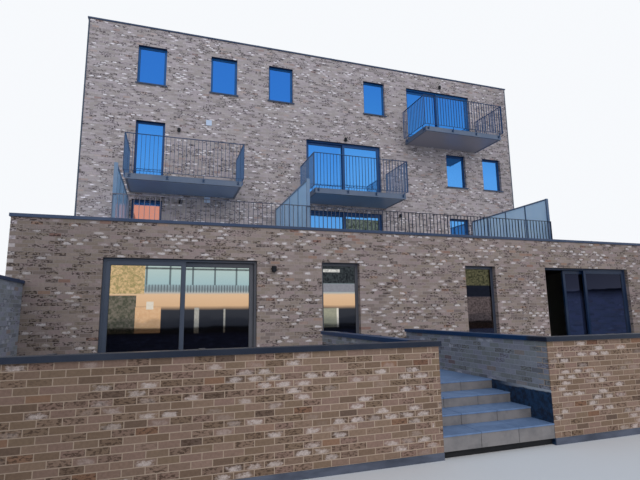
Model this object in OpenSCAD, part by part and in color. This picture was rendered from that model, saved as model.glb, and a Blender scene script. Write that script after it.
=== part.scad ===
/* [Plot] */
// Width of the block and of its plot between the party walls
plot_w = 17450; // [17000:50:19000]
// Depth of the front garden, from the garden wall to the ground-floor front
garden_d = 4810; // [4500:10:6500]
// Depth of the terrace in front of the upper storeys
terrace_d = 5900; // [5000:50:7000]
// Depth of the four-storey block
block_d = 11000; // [9000:100:13000]
// Thickness of the outer walls, both leaves and the cavity
wall_t = 350; // [300:10:400]

/* [Levels] */
// Height of the ground floor and of the stair's landing above the street
ground_floor_z = 720; // [660:10:760]
// Height of the first floor above the street
first_floor_z = 3460; // [3400:10:3600]
// Height of each storey above the first floor
storey_h = 2800; // [2700:10:3000]
// Thickness of the floors and of the roof
slab_t = 250; // [200:10:280]
// Height of the ground-floor door heads above the ground floor
ground_head_h = 2280; // [2200:10:2350]
// Height of the upper heads above their floor
upper_head_h = 2210; // [2150:10:2300]
// Height of the window sills above their floor
sill_h = 775; // [700:5:900]
// Height of the parapet above the terrace's structural floor
terrace_parapet_h = 295; // [250:5:400]
// Height of the parapet above the roof
roof_parapet_h = 100; // [60:10:300]
// Thickness of the terrace paving on its pads
paving_t = 50; // [30:5:60]

/* [Places along the front] */
// From the left party wall to the left garden door
left_patio_x = 1658; // [1400:1:2000]
// From the right party wall to the left jamb of the right garden door
right_patio_from_right = 4505; // [4000:5:4800]
// From the left party wall to the left narrow garden door
left_narrow_x = 6330; // [6000:5:6600]
// From the right party wall to the left jamb of the right narrow garden door
right_narrow_from_right = 7150; // [6800:5:7400]
// From the left party wall to the single doors on the first and second floors
upper_door_x = 1670; // [1400:5:2000]
// From the left party wall to the sliding doors on the first and second floors
middle_sliding_x = 7780; // [7000:5:8200]
// From the right party wall to the left jamb of the third floor's sliding door
third_sliding_from_right = 5200; // [4600:5:5600]
// From the right party wall to the left jambs of the two windows on the first and second floors
right_windows_from_right = [3400, 1550];
// From the left party wall to the three windows on the left of the third floor
third_left_windows_x = [1630, 4140, 6300];
// From the right party wall to the left jamb of the third floor's right window
third_window_from_right = 7190; // [6600:5:7600]
// From the left party wall to the two balconies of the second floor
second_balconies_x = [1505, 7535];
// From the right party wall to the left end of the third floor's balcony
third_balcony_from_right = 5410; // [4800:5:5800]
// From the left party wall to the middles of the left and middle terrace screens
left_screens_x = [1590, 6590];
// From the right party wall to the middle of the right terrace screen
right_screen_from_right = 2280; // [2000:5:2600]
// From each party wall to the nearest window at the back
back_window_inset = 1645; // [1200:5:2000]
// Number of windows in each storey at the back
back_window_count = 5; // [3:1:6]

/* [Garden walls and stair] */
// Height of the front and stair walls with their coping
garden_wall_h = 1450; // [1200:10:1700]
// Thickness of the front and stair walls
garden_wall_t = 215; // [180:5:330]
// Height of the side boundary walls with their coping
side_wall_h = 2520; // [2000:10:2700]
// Thickness of the side boundary walls
side_wall_t = 300; // [215:5:330]
// Distance from the left boundary to the stair
stair_x = 6265; // [6000:5:6600]
// Clear width of the stair between its walls
stair_w = 1775; // [1200:5:2000]
// Gap between the stair walls and the ground-floor front
stair_wall_gap = 800; // [600:10:1200]
// Height of the first step above the street
first_rise = 285; // [200:5:300]
// Depth of each step
tread_d = 410; // [300:5:420]
// Number of risers up to the landing
riser_count = 4; // [3:1:5]
// Thickness of the stone tiles on the stair
tile_t = 20; // [15:1:30]
// How far a tread stands past its riser
nosing = 10; // [0:1:20]
// Height of the shadow gap under the first riser
toe_h = 90; // [60:5:120]
// Thickness of the waterproof coating beside the stair
membrane_t = 6; // [3:1:10]
// Height of the kerb under the front garden walls
kerb_h = 90; // [60:5:120]
// How far the kerb stands past the wall face
kerb_out = 12; // [0:1:20]

/* [Copings and trims] */
// Thickness of the metal copings on the garden walls and round the terrace
coping_t = 65; // [40:5:90]
// Thickness of the metal coping round the roof
roof_coping_t = 55; // [40:5:90]
// How far each coping stands past its wall
coping_over = 30; // [24:1:50]
// Fall of a coping's top away from the street
coping_fall = 8; // [0:1:12]
// Folded edge along the top of a coping
coping_edge = 5; // [2:1:8]
// Width and depth of the drip grooves under a coping
drip = 8; // [4:1:10]
// Joint between two lengths of coping
coping_gap = 4; // [2:1:8]
// Width of the dark upright trims at the ends of the upper front
edge_trim_w = 45; // [30:5:100]
// Thickness of the upright trims
edge_trim_t = 8; // [4:1:15]

/* [Windows] */
// Width of a window or of a single garden door
window_w = 960; // [800:10:1100]
// Width of a sliding door
patio_w = 3150; // [2800:10:3300]
// Visible width of a window frame
frame_w = 70; // [50:5:90]
// Width of a frame outside its sash
frame_face = 38; // [25:1:45]
// Distance from a frame's face back to its sash
sash_set = 12; // [5:1:20]
// Depth of a window frame
frame_d = 70; // [60:5:90]
// Distance from the wall face to the window frame
reveal = 120; // [80:5:150]
// Thickness of a sealed glass unit
glass_t = 24; // [20:1:36]
// How far a sill stands past the wall and past each jamb
sill_out = 50; // [10:5:60]
// Thickness of a metal sill at the frame
sill_t = 25; // [15:1:40]
// Fall of a sill's top from the frame to the wall's face
sill_fall = 8; // [2:1:12]
// How far a sill's outer edge turns down
sill_nose = 35; // [5:1:50]
// Thickness of a sill's outer edge
sill_edge = 4; // [2:1:6]

/* [Sliding doors] */
// Face width of the outer frame of a sliding door
track_frame_w = 50; // [40:5:70]
// Depth of the outer frame of a sliding door
track_frame_d = 170; // [150:5:200]
// Distance from the wall face to a sliding door's outer frame
track_reveal = 90; // [60:5:110]
// Width of a leaf's stiles and rails
stile_w = 90; // [70:5:110]
// Width of the glazing bead inside a leaf's stiles and rails
bead_w = 18; // [12:1:25]
// Distance from a leaf's face back to its bead
bead_set = 8; // [4:1:12]
// Thickness of a leaf
leaf_t = 55; // [45:5:60]
// Clearance round a sliding leaf
leaf_gap = 5; // [5:1:8]
// Running gap between a leaf and the rail under it
runner_gap = 0.5; // [0.3:0.1:0.8]
// How far the right sliding door stands open
right_door_open = 770; // [0:10:1200]

/* [Balconies] */
// Width of a balcony over its railing
balcony_w = 3640; // [3300:10:3800]
// Distance of a balcony railing from the front
balcony_out = 1680; // [1200:10:1800]
// Height of a balcony's edge channel
channel_h = 180; // [150:5:260]
// Width of a channel's flanges
channel_w = 60; // [40:5:90]
// Thickness of a channel's web and flanges
channel_steel_t = 12; // [8:1:20]
// Drop from the floor to the top of the edge channel
balcony_drop = 175; // [80:5:200]
// Distance from the railing's inner face to the edge channel
bracket_d = 30; // [20:1:50]
// Distance from a railing's end to the middle of its first bracket
bracket_end = 180; // [120:5:300]
// Number of brackets behind a balcony's front railing
front_brackets = 4; // [3:1:6]
// Height of a bracket's foot on the channel
bracket_h = 60; // [40:5:80]
// Drop from the top of the channel to the bottom of a bracket
bracket_below = 115; // [90:5:130]
// Height of the balcony railing above the edge channel
rail_h = 1253; // [1000:1:1300]
// Height of the balcony railing's bottom rail above the edge channel
balcony_bottom_rail_z = 70; // [50:5:120]

/* [Railings] */
// Depth of the railings' rails and posts
rail_d = 40; // [30:1:60]
// Height of a top rail
top_rail_h = 14; // [8:1:25]
// Height of a bottom rail
bottom_rail_h = 10; // [6:1:16]
// Width of a railing bar, a post and a bracket
bar_w = 12; // [8:1:20]
// Depth of a railing bar
bar_d = 26; // [10:1:30]
// Largest spacing of the balconies' bars
bar_pitch = 122; // [100:1:130]

/* [Terrace] */
// Distance of the terrace railing from the ground-floor front
terrace_setback = 1800; // [1000:10:2200]
// Height of the terrace railing above the paving
terrace_rail_h = 1290; // [1000:10:1350]
// Height of the terrace railing's bottom rail above the paving
terrace_bottom_rail_z = 95; // [60:5:120]
// Largest spacing of the terrace railing's bars
terrace_bar_pitch = 125; // [100:1:130]
// Bays between the posts of the terrace railing
terrace_rail_bays = 10; // [8:1:14]
// Height of the glass screens above the paving
screen_h = 2090; // [1800:10:2200]
// Bays of glass in a screen
screen_bays = 4; // [3:1:6]
// Width of a screen's posts and rails
screen_post = 45; // [35:1:60]
// Width of a screen's front post
screen_front_w = 90; // [60:5:120]
// Height of a screen's bottom rail above the paving
screen_foot = 40; // [20:5:80]
// Thickness of the frosted glass
screen_glass_t = 12; // [8:1:20]

/* [Fittings] */
// Diameter of a wall lamp
lamp_dia = 80; // [60:5:120]
// Height of a wall lamp
lamp_h = 110; // [80:5:160]
// Gap between a wall lamp and its wall
lamp_gap = 25; // [15:5:60]
// Diameter of a wall lamp's plate on the wall
lamp_plate_dia = 70; // [50:5:90]
// Distances from the left jambs of the two upper sliding doors to the lamps over them
lamp_over_x = [1620, 1650];
// Heights of these two lamps above the door heads
lamp_over_h = [130, 250];
// From the right jambs of the garden door and of the first floor's two doors to the lamps beside them
lamp_beside_x = [368, 600, 780];
// Heights of these three lamps above their floors
lamp_beside_h = [2100, 2200, 2190];
// Distance from the right jamb of the second floor's single door to the lamp beside it
second_lamp_x = 460; // [300:5:700]
// Height of this lamp above its floor
second_lamp_h = 1990; // [1800:5:2200]
// Distances from the left jambs of the single doors to the vents on the first and second floors
vent_x = [2450, 2440];
// Heights of the vents above their floors
vent_h = [2335, 2400];
// Size of a square vent cover
vent_size = 200; // [150:10:250]
// Thickness of a vent cover
vent_t = 16; // [12:1:25]
// Width of the border round a vent's slats
vent_border = 25; // [15:1:40]
// Number of slats in a vent cover
vent_slats = 5; // [3:1:8]

/* [Hidden] */

brick_tone = "rosybrown";
dark_metal = "darkslategray";
glass_tone = "steelblue";
cut = 1;

podium_y = garden_d;
front_y = garden_d + terrace_d;
back_y = front_y + block_d;
floor_z = [first_floor_z, first_floor_z + storey_h, first_floor_z + 2 * storey_h];
roof_z = first_floor_z + 3 * storey_h;
podium_head_z = ground_floor_z + ground_head_h;
podium_wall_top = first_floor_z + terrace_parapet_h;
block_wall_top = roof_z + roof_parapet_h;
paving_z = first_floor_z + paving_t;
inner_x = wall_t;
inner_right_x = plot_w - wall_t;

// Left jambs on the ground-floor front
patio_x = [left_patio_x, plot_w - right_patio_from_right];
narrow_x = [left_narrow_x, plot_w - right_narrow_from_right];
// Left jambs of the windows on the upper floors, and of the third floor's door
right_windows_x = [for (d = right_windows_from_right) plot_w - d];
third_windows_x = concat(third_left_windows_x, [plot_w - third_window_from_right]);
third_sliding_x = plot_w - third_sliding_from_right;
// Left ends of the balconies over their railing: two on the second floor, one on the third
balcony_x = concat(second_balconies_x, [plot_w - third_balcony_from_right]);
balcony_floor = [1, 1, 2];
// Middles of the three terrace screens
screen_x = concat(left_screens_x, [plot_w - right_screen_from_right]);
// Windows at the back
back_window_pitch = (plot_w - 2 * back_window_inset - window_w) / (back_window_count - 1);
back_windows_x = [for (i = [0 : back_window_count - 1]) back_window_inset + i * back_window_pitch];
// Wall lamps beside and over the doors, and vent covers, each [x, z]
upper_lamps = [
    [upper_door_x + window_w + second_lamp_x, floor_z[1] + second_lamp_h],
    [middle_sliding_x + lamp_over_x[0], floor_z[1] + upper_head_h + lamp_over_h[0]],
    [third_sliding_x + lamp_over_x[1], floor_z[2] + upper_head_h + lamp_over_h[1]],
    [upper_door_x + window_w + lamp_beside_x[1], floor_z[0] + lamp_beside_h[1]],
    [middle_sliding_x + patio_w + lamp_beside_x[2], floor_z[0] + lamp_beside_h[2]]
];
ground_lamps = [[left_patio_x + patio_w + lamp_beside_x[0], ground_floor_z + lamp_beside_h[0]]];
vents = [for (i = [1, 0]) [upper_door_x + vent_x[i], floor_z[i] + vent_h[i]]];

stair_right_x = stair_x + stair_w;
step_h = (ground_floor_z - first_rise) / (riser_count - 1);
step_top = [for (i = [0 : riser_count - 1]) first_rise + i * step_h];
riser_y = [for (i = [0 : riser_count - 1]) i * tread_d];
stair_wall_end = podium_y - stair_wall_gap;
toe_set = 60;
flight_right_x = stair_right_x - membrane_t;

leaf_w = (patio_w - 2 * track_frame_w + stile_w) / 2 - leaf_gap;
outer_leaf_y = 15;
inner_leaf_y = 95;
leaf_z = ground_floor_z + track_frame_w + leaf_gap;
leaf_h = ground_head_h - 2 * track_frame_w - 2 * leaf_gap;
left_leaf_x = patio_x[0] + patio_w - track_frame_w - leaf_gap - leaf_w;
right_leaf_x = patio_x[1] + track_frame_w + leaf_gap + right_door_open;
runner_w = 10;

rail_y = front_y - balcony_out;
channel_inset = rail_d + bracket_d;
terrace_rail_y = podium_y + terrace_setback;
screen_y = terrace_rail_y + rail_d;
screen_d = front_y - screen_y;
lamp_edge = 4;
lamp_arm = 30;
lamp_plate_t = 8;
slat_gap = 6;

// A straight block between two corners
module block(x0, x1, y0, y1, z0, z1) {
    translate([x0, y0, z0])
        cube([x1 - x0, y1 - y0, z1 - z0]);
}

// Sets the middle of the plan on the origin
module on_plot() {
    translate([-plot_w / 2, -back_y / 2, 0])
        children();
}

// A wall along x with its holes, each [left, right, bottom, top]
module pierced_wall(y0, z0, z1, holes) {
    difference() {
        block(inner_x, inner_right_x, y0, y0 + wall_t, z0, z1);
        for (h = holes)
            block(h[0], h[1], y0 - cut, y0 + wall_t + cut, h[2], h[3]);
    }
}

// Holes of a row of windows over one floor
function window_holes(xs, z) = [for (x = xs) [x, x + window_w, z + sill_h, z + upper_head_h]];

// A flat frame standing in a wall: inside its face, the sash or bead is set back
module glazing_frame(x, y, z, w, h, border, depth, face, set_back) {
    translate([x, y, z])
        difference() {
            cube([w, depth, h]);
            translate([border, -cut, border])
                cube([w - 2 * border, depth + 2 * cut, h - 2 * border]);
            translate([face, -cut, face])
                cube([w - 2 * face, cut + set_back, h - 2 * face]);
        }
}

// The glass unit that fills such a frame
module pane(x, y, z, w, h, border, depth) {
    translate([x + border, y + (depth - glass_t) / 2, z + border])
        cube([w - 2 * border, glass_t, h - 2 * border]);
}

// The outline of a coping over a wall from 0 to width, with its high side at 0
function coping_outline(width, t) =
    let (near = -coping_over, far = width + coping_over, low = t - coping_fall)
    [[near, 0], [near, t - coping_edge], [near + coping_edge, t],
     [far - coping_edge, low], [far, low - coping_edge], [far, 0],
     [far - drip, 0], [far - drip, drip], [far - 2 * drip, drip], [far - 2 * drip, 0],
     [near + 2 * drip, 0], [near + 2 * drip, drip], [near + drip, drip], [near + drip, 0]];

// A length of coping along x, over a wall whose outer face is at y
module coping_x(x0, x1, y, width, z, t) {
    translate([x0, y, z])
        rotate([90, 0, 90])
            linear_extrude(x1 - x0)
                polygon(coping_outline(width, t));
}

// A length of coping along y, over a wall whose outer face is at x
module coping_y(x, y0, y1, width, z, t) {
    translate([x, y1, z])
        rotate([90, 0, 0])
            linear_extrude(y1 - y0)
                polygon(coping_outline(width, t));
}

// Its children at the left party wall, and mirrored at the right one
module both_sides() {
    children();
    translate([plot_w, 0, 0])
        mirror([1, 0, 0])
            children();
}

// GARDEN WALLS

// Brick walls along the street on both sides of the stair
module front_garden_walls() {
    color(brick_tone)
        on_plot() {
            block(side_wall_t, stair_x, 0, garden_wall_t, kerb_h, garden_wall_h - coping_t);
            block(stair_right_x, plot_w - side_wall_t, 0, garden_wall_t, kerb_h, garden_wall_h - coping_t);
        }
}

// Brick walls that run in depth on both sides of the stair and its landing
module stair_walls() {
    color(brick_tone)
        on_plot() {
            block(stair_x - garden_wall_t, stair_x, garden_wall_t, stair_wall_end, 0, garden_wall_h - coping_t);
            block(stair_right_x, stair_right_x + garden_wall_t, garden_wall_t, stair_wall_end,
                  0, garden_wall_h - coping_t);
        }
}

// Taller boundary walls from the street to the ground-floor front
module side_garden_walls() {
    color(brick_tone)
        on_plot()
            for (x = [0, plot_w - side_wall_t])
                block(x, x + side_wall_t, 0, podium_y, 0, side_wall_h - coping_t);
}

// Dark metal copings on all the garden walls
module garden_copings() {
    low = garden_wall_h - coping_t;
    stair_runs_y = garden_wall_t + coping_over + coping_gap;
    color(dark_metal)
        on_plot() {
            coping_x(side_wall_t, stair_x + coping_over, 0, garden_wall_t, low, coping_t);
            coping_x(stair_right_x - coping_over, plot_w - side_wall_t, 0, garden_wall_t, low, coping_t);
            for (x = [stair_x - garden_wall_t, stair_right_x])
                coping_y(x, stair_runs_y, stair_wall_end + coping_over, garden_wall_t, low, coping_t);
            both_sides()
                coping_y(0, -coping_over, podium_y, side_wall_t, side_wall_h - coping_t, coping_t);
        }
}

// Concrete kerbs under the walls along the street
module wall_kerbs() {
    color("slategray")
        on_plot() {
            block(side_wall_t, stair_x, -kerb_out, garden_wall_t, 0, kerb_h);
            block(stair_right_x, plot_w - side_wall_t, -kerb_out, garden_wall_t, 0, kerb_h);
        }
}

// STAIR

// Waterproof coating on the right stair wall, beside and below the steps
module stair_membrane() {
    color("midnightblue")
        on_plot()
            block(flight_right_x, stair_right_x, 0, stair_wall_end, 0, ground_floor_z);
}

// Concrete flight and landing, cut back under the first riser
module stair_core() {
    steps = [for (i = [0 : riser_count - 1])
        each [[riser_y[i] + tile_t, i == 0 ? toe_h : step_top[i - 1] - tile_t],
              [riser_y[i] + tile_t, step_top[i] - tile_t]]];
    color("gray")
        on_plot()
            translate([stair_x, 0, 0])
                rotate([90, 0, 90])
                    linear_extrude(flight_right_x - stair_x)
                        polygon(concat([[toe_set, 0], [toe_set, toe_h]], steps,
                                       [[podium_y, ground_floor_z - tile_t], [podium_y, 0]]));
}

// Stone tread slabs, the last of which paves the landing
module stair_treads() {
    color("lightsteelblue")
        on_plot()
            for (i = [0 : riser_count - 1])
                block(stair_x, flight_right_x, riser_y[i] - nosing,
                      i == riser_count - 1 ? podium_y : riser_y[i + 1] + tile_t,
                      step_top[i] - tile_t, step_top[i]);
}

// Stone riser slabs
module stair_risers() {
    color("darkgray")
        on_plot()
            for (i = [0 : riser_count - 1])
                block(stair_x, flight_right_x, riser_y[i], riser_y[i] + tile_t,
                      i == 0 ? toe_h : step_top[i - 1], step_top[i] - tile_t);
}

// GROUND FLOOR

// Front wall below the ground floor
module podium_foot() {
    color(brick_tone)
        on_plot()
            block(inner_x, inner_right_x, podium_y, podium_y + wall_t, 0, ground_floor_z);
}

// Brick piers between the openings of the ground-floor front
module podium_piers() {
    left = [inner_x, patio_x[0] + patio_w, narrow_x[0] + window_w, narrow_x[1] + window_w,
            patio_x[1] + patio_w];
    right = [patio_x[0], narrow_x[0], narrow_x[1], patio_x[1], inner_right_x];
    color(brick_tone)
        on_plot()
            for (i = [0 : len(left) - 1])
                block(left[i], right[i], podium_y, podium_y + wall_t, ground_floor_z, podium_head_z);
}

// Brickwork over the ground-floor openings, up to the terrace parapet
module podium_head() {
    color(brick_tone)
        on_plot()
            block(inner_x, inner_right_x, podium_y, podium_y + wall_t, podium_head_z, podium_wall_top);
}

// Party walls beside the rooms under the terrace
module podium_side_walls() {
    color(brick_tone)
        on_plot()
            for (x = [0, inner_right_x])
                block(x, x + wall_t, podium_y, front_y, 0, podium_wall_top);
}

// Ground floor, first floor with the terrace deck, and the two floors above
module floor_slabs() {
    color("silver")
        on_plot() {
            block(inner_x, inner_right_x, podium_y + wall_t, back_y - wall_t,
                  ground_floor_z - slab_t, ground_floor_z);
            block(inner_x, inner_right_x, podium_y + wall_t, back_y - wall_t,
                  first_floor_z - slab_t, first_floor_z);
            for (z = [floor_z[1], floor_z[2]])
                block(inner_x, inner_right_x, front_y + wall_t, back_y - wall_t, z - slab_t, z);
        }
}

// Paving of the terrace
module terrace_paving() {
    color("gainsboro")
        on_plot()
            block(inner_x, inner_right_x, podium_y + wall_t, front_y, first_floor_z, paving_z);
}

// UPPER STOREYS

// Front of the first floor, with the doors to the terrace
module front_wall_first() {
    z = floor_z[0];
    color(brick_tone)
        on_plot()
            pierced_wall(front_y, z, floor_z[1], concat(
                window_holes(right_windows_x, z),
                [[upper_door_x, upper_door_x + window_w, z, z + upper_head_h],
                 [middle_sliding_x, middle_sliding_x + patio_w, z, z + upper_head_h]]));
}

// Front of the second floor, with two balcony doors
module front_wall_second() {
    z = floor_z[1];
    color(brick_tone)
        on_plot()
            pierced_wall(front_y, z, floor_z[2], concat(
                window_holes(right_windows_x, z),
                [[upper_door_x, upper_door_x + window_w, z, z + upper_head_h],
                 [middle_sliding_x, middle_sliding_x + patio_w, z, z + upper_head_h]]));
}

// Front of the third floor, up to the roof's coping
module front_wall_third() {
    z = floor_z[2];
    color(brick_tone)
        on_plot()
            pierced_wall(front_y, z, block_wall_top, concat(
                window_holes(third_windows_x, z),
                [[third_sliding_x, third_sliding_x + patio_w, z, z + upper_head_h]]));
}

// Plain party walls at both ends of the block
module gable_walls() {
    color(brick_tone)
        on_plot()
            for (x = [0, inner_right_x])
                block(x, x + wall_t, front_y, back_y, 0, block_wall_top);
}

// One storey of the back, with its row of windows
module back_storey(z0, z1, floor_level) {
    color(brick_tone)
        on_plot()
            pierced_wall(back_y - wall_t, z0, z1, window_holes(back_windows_x, floor_level));
}

module back_wall_ground() {
    back_storey(0, first_floor_z, ground_floor_z);
}

module back_wall_first() {
    back_storey(floor_z[0], floor_z[1], floor_z[0]);
}

module back_wall_second() {
    back_storey(floor_z[1], floor_z[2], floor_z[1]);
}

module back_wall_third() {
    back_storey(floor_z[2], block_wall_top, floor_z[2]);
}

// Flat roof between the parapets
module roof_slab() {
    color("dimgray")
        on_plot()
            block(inner_x, inner_right_x, front_y + wall_t, back_y - wall_t, roof_z - slab_t, roof_z);
}

// Dark copings round the terrace parapet and round the roof
module roof_copings() {
    x0 = -coping_over;
    x1 = plot_w + coping_over;
    turn = wall_t + coping_over + coping_gap;
    color(dark_metal)
        on_plot() {
            coping_x(x0, x1, podium_y, wall_t, podium_wall_top, coping_t);
            coping_x(x0, x1, front_y, wall_t, block_wall_top, roof_coping_t);
            translate([0, back_y, 0])
                mirror([0, 1, 0])
                    coping_x(x0, x1, 0, wall_t, block_wall_top, roof_coping_t);
            both_sides() {
                coping_y(0, podium_y + turn, front_y, wall_t, podium_wall_top, coping_t);
                coping_y(0, front_y + turn, back_y - turn, wall_t, block_wall_top, roof_coping_t);
            }
        }
}

// Dark upright trims at both ends of the upper front
module edge_trims() {
    color(dark_metal)
        on_plot()
            for (x = [0, plot_w - edge_trim_w])
                block(x, x + edge_trim_w, front_y - edge_trim_t, front_y,
                      podium_wall_top + coping_t, block_wall_top);
}

// WINDOWS

// Calls its children at each front window with the place in $x, $z and $h; y = 0 is the wall's face
module at_front_windows() {
    translate([0, front_y, 0])
        for (row = [[right_windows_x, 0], [right_windows_x, 1], [third_windows_x, 2]])
            for (x = row[0]) {
                $x = x;
                $z = floor_z[row[1]] + sill_h;
                $h = upper_head_h - sill_h;
                children();
            }
}

module at_narrow_doors() {
    translate([0, podium_y, 0])
        for (x = narrow_x) {
            $x = x;
            $z = ground_floor_z;
            $h = ground_head_h;
            children();
        }
}

module at_back_windows() {
    translate([0, back_y, 0])
        mirror([0, 1, 0])
            for (z = concat([ground_floor_z], floor_z))
                for (x = back_windows_x) {
                    $x = x;
                    $z = z + sill_h;
                    $h = upper_head_h - sill_h;
                    children();
                }
}

module window_frame(x, z, h) {
    glazing_frame(x, reveal, z, window_w, h, frame_w, frame_d, frame_face, sash_set);
}

module window_pane(x, z, h) {
    pane(x, reveal, z, window_w, h, frame_w, frame_d);
}

module window_frames() {
    color(dark_metal)
        on_plot() {
            at_front_windows()
                window_frame($x, $z, $h);
            at_narrow_doors()
                window_frame($x, $z, $h);
        }
}

module window_glass() {
    color(glass_tone)
        on_plot() {
            at_front_windows()
                window_pane($x, $z, $h);
            at_narrow_doors()
                window_pane($x, $z, $h);
        }
}

// A thin metal sill between the jambs, with a wider outer edge that has ears and turns down
module wall_sill(x, z) {
    face_z = sill_t - sill_fall;
    translate([x, 0, z])
        rotate([90, 0, 90]) {
            linear_extrude(window_w)
                polygon([[0, 0], [reveal, 0], [reveal, sill_t], [0, face_z]]);
            translate([0, 0, -sill_out])
                linear_extrude(window_w + 2 * sill_out)
                    polygon([[-sill_out, -sill_nose], [-sill_out, face_z], [0, face_z], [0, 0],
                             [sill_edge - sill_out, 0], [sill_edge - sill_out, -sill_nose]]);
        }
}

module window_sills() {
    color(dark_metal)
        on_plot() {
            at_front_windows()
                wall_sill($x, $z);
            at_back_windows()
                wall_sill($x, $z);
        }
}

module back_window_frames() {
    color(dark_metal)
        on_plot()
            at_back_windows()
                window_frame($x, $z, $h);
}

module back_window_glass() {
    color(glass_tone)
        on_plot()
            at_back_windows()
                window_pane($x, $z, $h);
}

// DOORS

// Outer frame of a sliding door
module outer_frame(x, y, z, h) {
    glazing_frame(x, y, z, patio_w, h, track_frame_w, track_frame_d, track_frame_w, 0);
}

// The rail in an outer frame that the inner leaf runs on
module runner(x, y, z) {
    middle = y + inner_leaf_y + leaf_t / 2;
    low = z + track_frame_w;
    block(x + track_frame_w, x + patio_w - track_frame_w, middle - runner_w / 2, middle + runner_w / 2,
          low, low + leaf_gap - runner_gap);
}

// A leaf screwed into one of the tracks, with its edges against the frame
module fixed_leaf(x, y, z, h) {
    glazing_frame(x, y, z + track_frame_w, leaf_w + leaf_gap, h - 2 * track_frame_w, stile_w, leaf_t,
                  stile_w - bead_w, bead_set);
}

module fixed_leaf_glass(x, y, z, h) {
    pane(x, y, z + track_frame_w, leaf_w + leaf_gap, h - 2 * track_frame_w, stile_w, leaf_t);
}

// A leaf on the inner track
module sliding_leaf(x) {
    glazing_frame(x, podium_y + track_reveal + inner_leaf_y, leaf_z, leaf_w, leaf_h, stile_w, leaf_t,
                  stile_w - bead_w, bead_set);
}

module sliding_leaf_glass(x) {
    pane(x, podium_y + track_reveal + inner_leaf_y, leaf_z, leaf_w, leaf_h, stile_w, leaf_t);
}

// Calls its children at each upper sliding door with the place in $x, $y and $z
module at_upper_sliding() {
    for (d = [[middle_sliding_x, 0], [middle_sliding_x, 1], [third_sliding_x, 2]]) {
        $x = d[0];
        $y = front_y + track_reveal;
        $z = floor_z[d[1]];
        children();
    }
}

// Place of an upper door's right leaf, in the outer track, from its left jamb
upper_right_leaf_x = patio_w - track_frame_w - leaf_w - leaf_gap;

module upper_door_frames() {
    color(dark_metal)
        on_plot() {
            at_upper_sliding() {
                outer_frame($x, $y, $z, upper_head_h);
                fixed_leaf($x + track_frame_w, $y + inner_leaf_y, $z, upper_head_h);
                fixed_leaf($x + upper_right_leaf_x, $y + outer_leaf_y, $z, upper_head_h);
            }
            translate([0, front_y, 0])
                for (z = [floor_z[0], floor_z[1]])
                    window_frame(upper_door_x, z, upper_head_h);
        }
}

module upper_door_glass() {
    color(glass_tone)
        on_plot() {
            at_upper_sliding() {
                fixed_leaf_glass($x + track_frame_w, $y + inner_leaf_y, $z, upper_head_h);
                fixed_leaf_glass($x + upper_right_leaf_x, $y + outer_leaf_y, $z, upper_head_h);
            }
            translate([0, front_y, 0])
                for (z = [floor_z[0], floor_z[1]])
                    window_pane(upper_door_x, z, upper_head_h);
        }
}

// Left jambs of the fixed leaves of the two garden doors
fixed_leaf_x = [patio_x[0] + track_frame_w, patio_x[1] + patio_w - track_frame_w - leaf_w - leaf_gap];

module patio_frames() {
    y = podium_y + track_reveal;
    color(dark_metal)
        on_plot()
            for (i = [0, 1]) {
                outer_frame(patio_x[i], y, ground_floor_z, ground_head_h);
                runner(patio_x[i], y, ground_floor_z);
                fixed_leaf(fixed_leaf_x[i], y + outer_leaf_y, ground_floor_z, ground_head_h);
            }
}

module patio_fixed_glass() {
    y = podium_y + track_reveal + outer_leaf_y;
    color(glass_tone)
        on_plot()
            for (i = [0, 1])
                fixed_leaf_glass(fixed_leaf_x[i], y, ground_floor_z, ground_head_h);
}

module left_leaf_frame() {
    color(dark_metal)
        on_plot()
            sliding_leaf(left_leaf_x);
}

module left_leaf_glass() {
    color(glass_tone)
        on_plot()
            sliding_leaf_glass(left_leaf_x);
}

module right_leaf_frame() {
    color(dark_metal)
        on_plot()
            sliding_leaf(right_leaf_x);
}

module right_leaf_glass() {
    color(glass_tone)
        on_plot()
            sliding_leaf_glass(right_leaf_x);
}

// BALCONIES

// Calls its children at each balcony, with x at its railing's left end and z at its floor
module at_balconies() {
    for (i = [0 : len(balcony_x) - 1])
        translate([balcony_x[i], 0, floor_z[balcony_floor[i]]])
            children();
}

// The space between a balcony's channels, from one web to the other and between their flanges
module balcony_bay(past_wall) {
    web = channel_inset + channel_steel_t;
    block(web, balcony_w - web, rail_y + web, front_y + past_wall,
          channel_steel_t - balcony_drop - channel_h, -balcony_drop - channel_steel_t);
}

// Steel channels round three sides of each balcony, with their flanges turned inwards
module balcony_channels() {
    inner = channel_inset + channel_w;
    low = -balcony_drop - channel_h;
    color("slategray")
        on_plot()
            at_balconies()
                difference() {
                    block(channel_inset, balcony_w - channel_inset, rail_y + channel_inset, front_y,
                          low, -balcony_drop);
                    block(inner, balcony_w - inner, rail_y + inner, front_y + cut, low - cut, cut);
                    balcony_bay(cut);
                }
}

// Flat decks held between the channels' flanges
module balcony_decks() {
    color("lightslategray")
        on_plot()
            at_balconies()
                balcony_bay(0);
}

// A flat railing along x from 0 to length, with posts at its ends and between its bays
module rail_panel(length, height, bottom, post_foot, bays, widest) {
    bars_in_bay = ceil(length / bays / widest);
    bars = bays * bars_in_bay;
    pitch = (length - bar_w) / bars;
    rail_middle = bottom + bottom_rail_h / 2;
    bar_y = (rail_d - bar_d) / 2;
    block(0, length, 0, rail_d, height - top_rail_h, height);
    block(0, length, bar_y, bar_y + bar_d, bottom, bottom + bottom_rail_h);
    for (i = [0 : bars]) {
        post = i % bars_in_bay == 0;
        set_in = post ? 0 : bar_y;
        block(i * pitch, i * pitch + bar_w, set_in, rail_d - set_in,
              post ? post_foot : rail_middle, height - top_rail_h / 2);
    }
}

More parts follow.
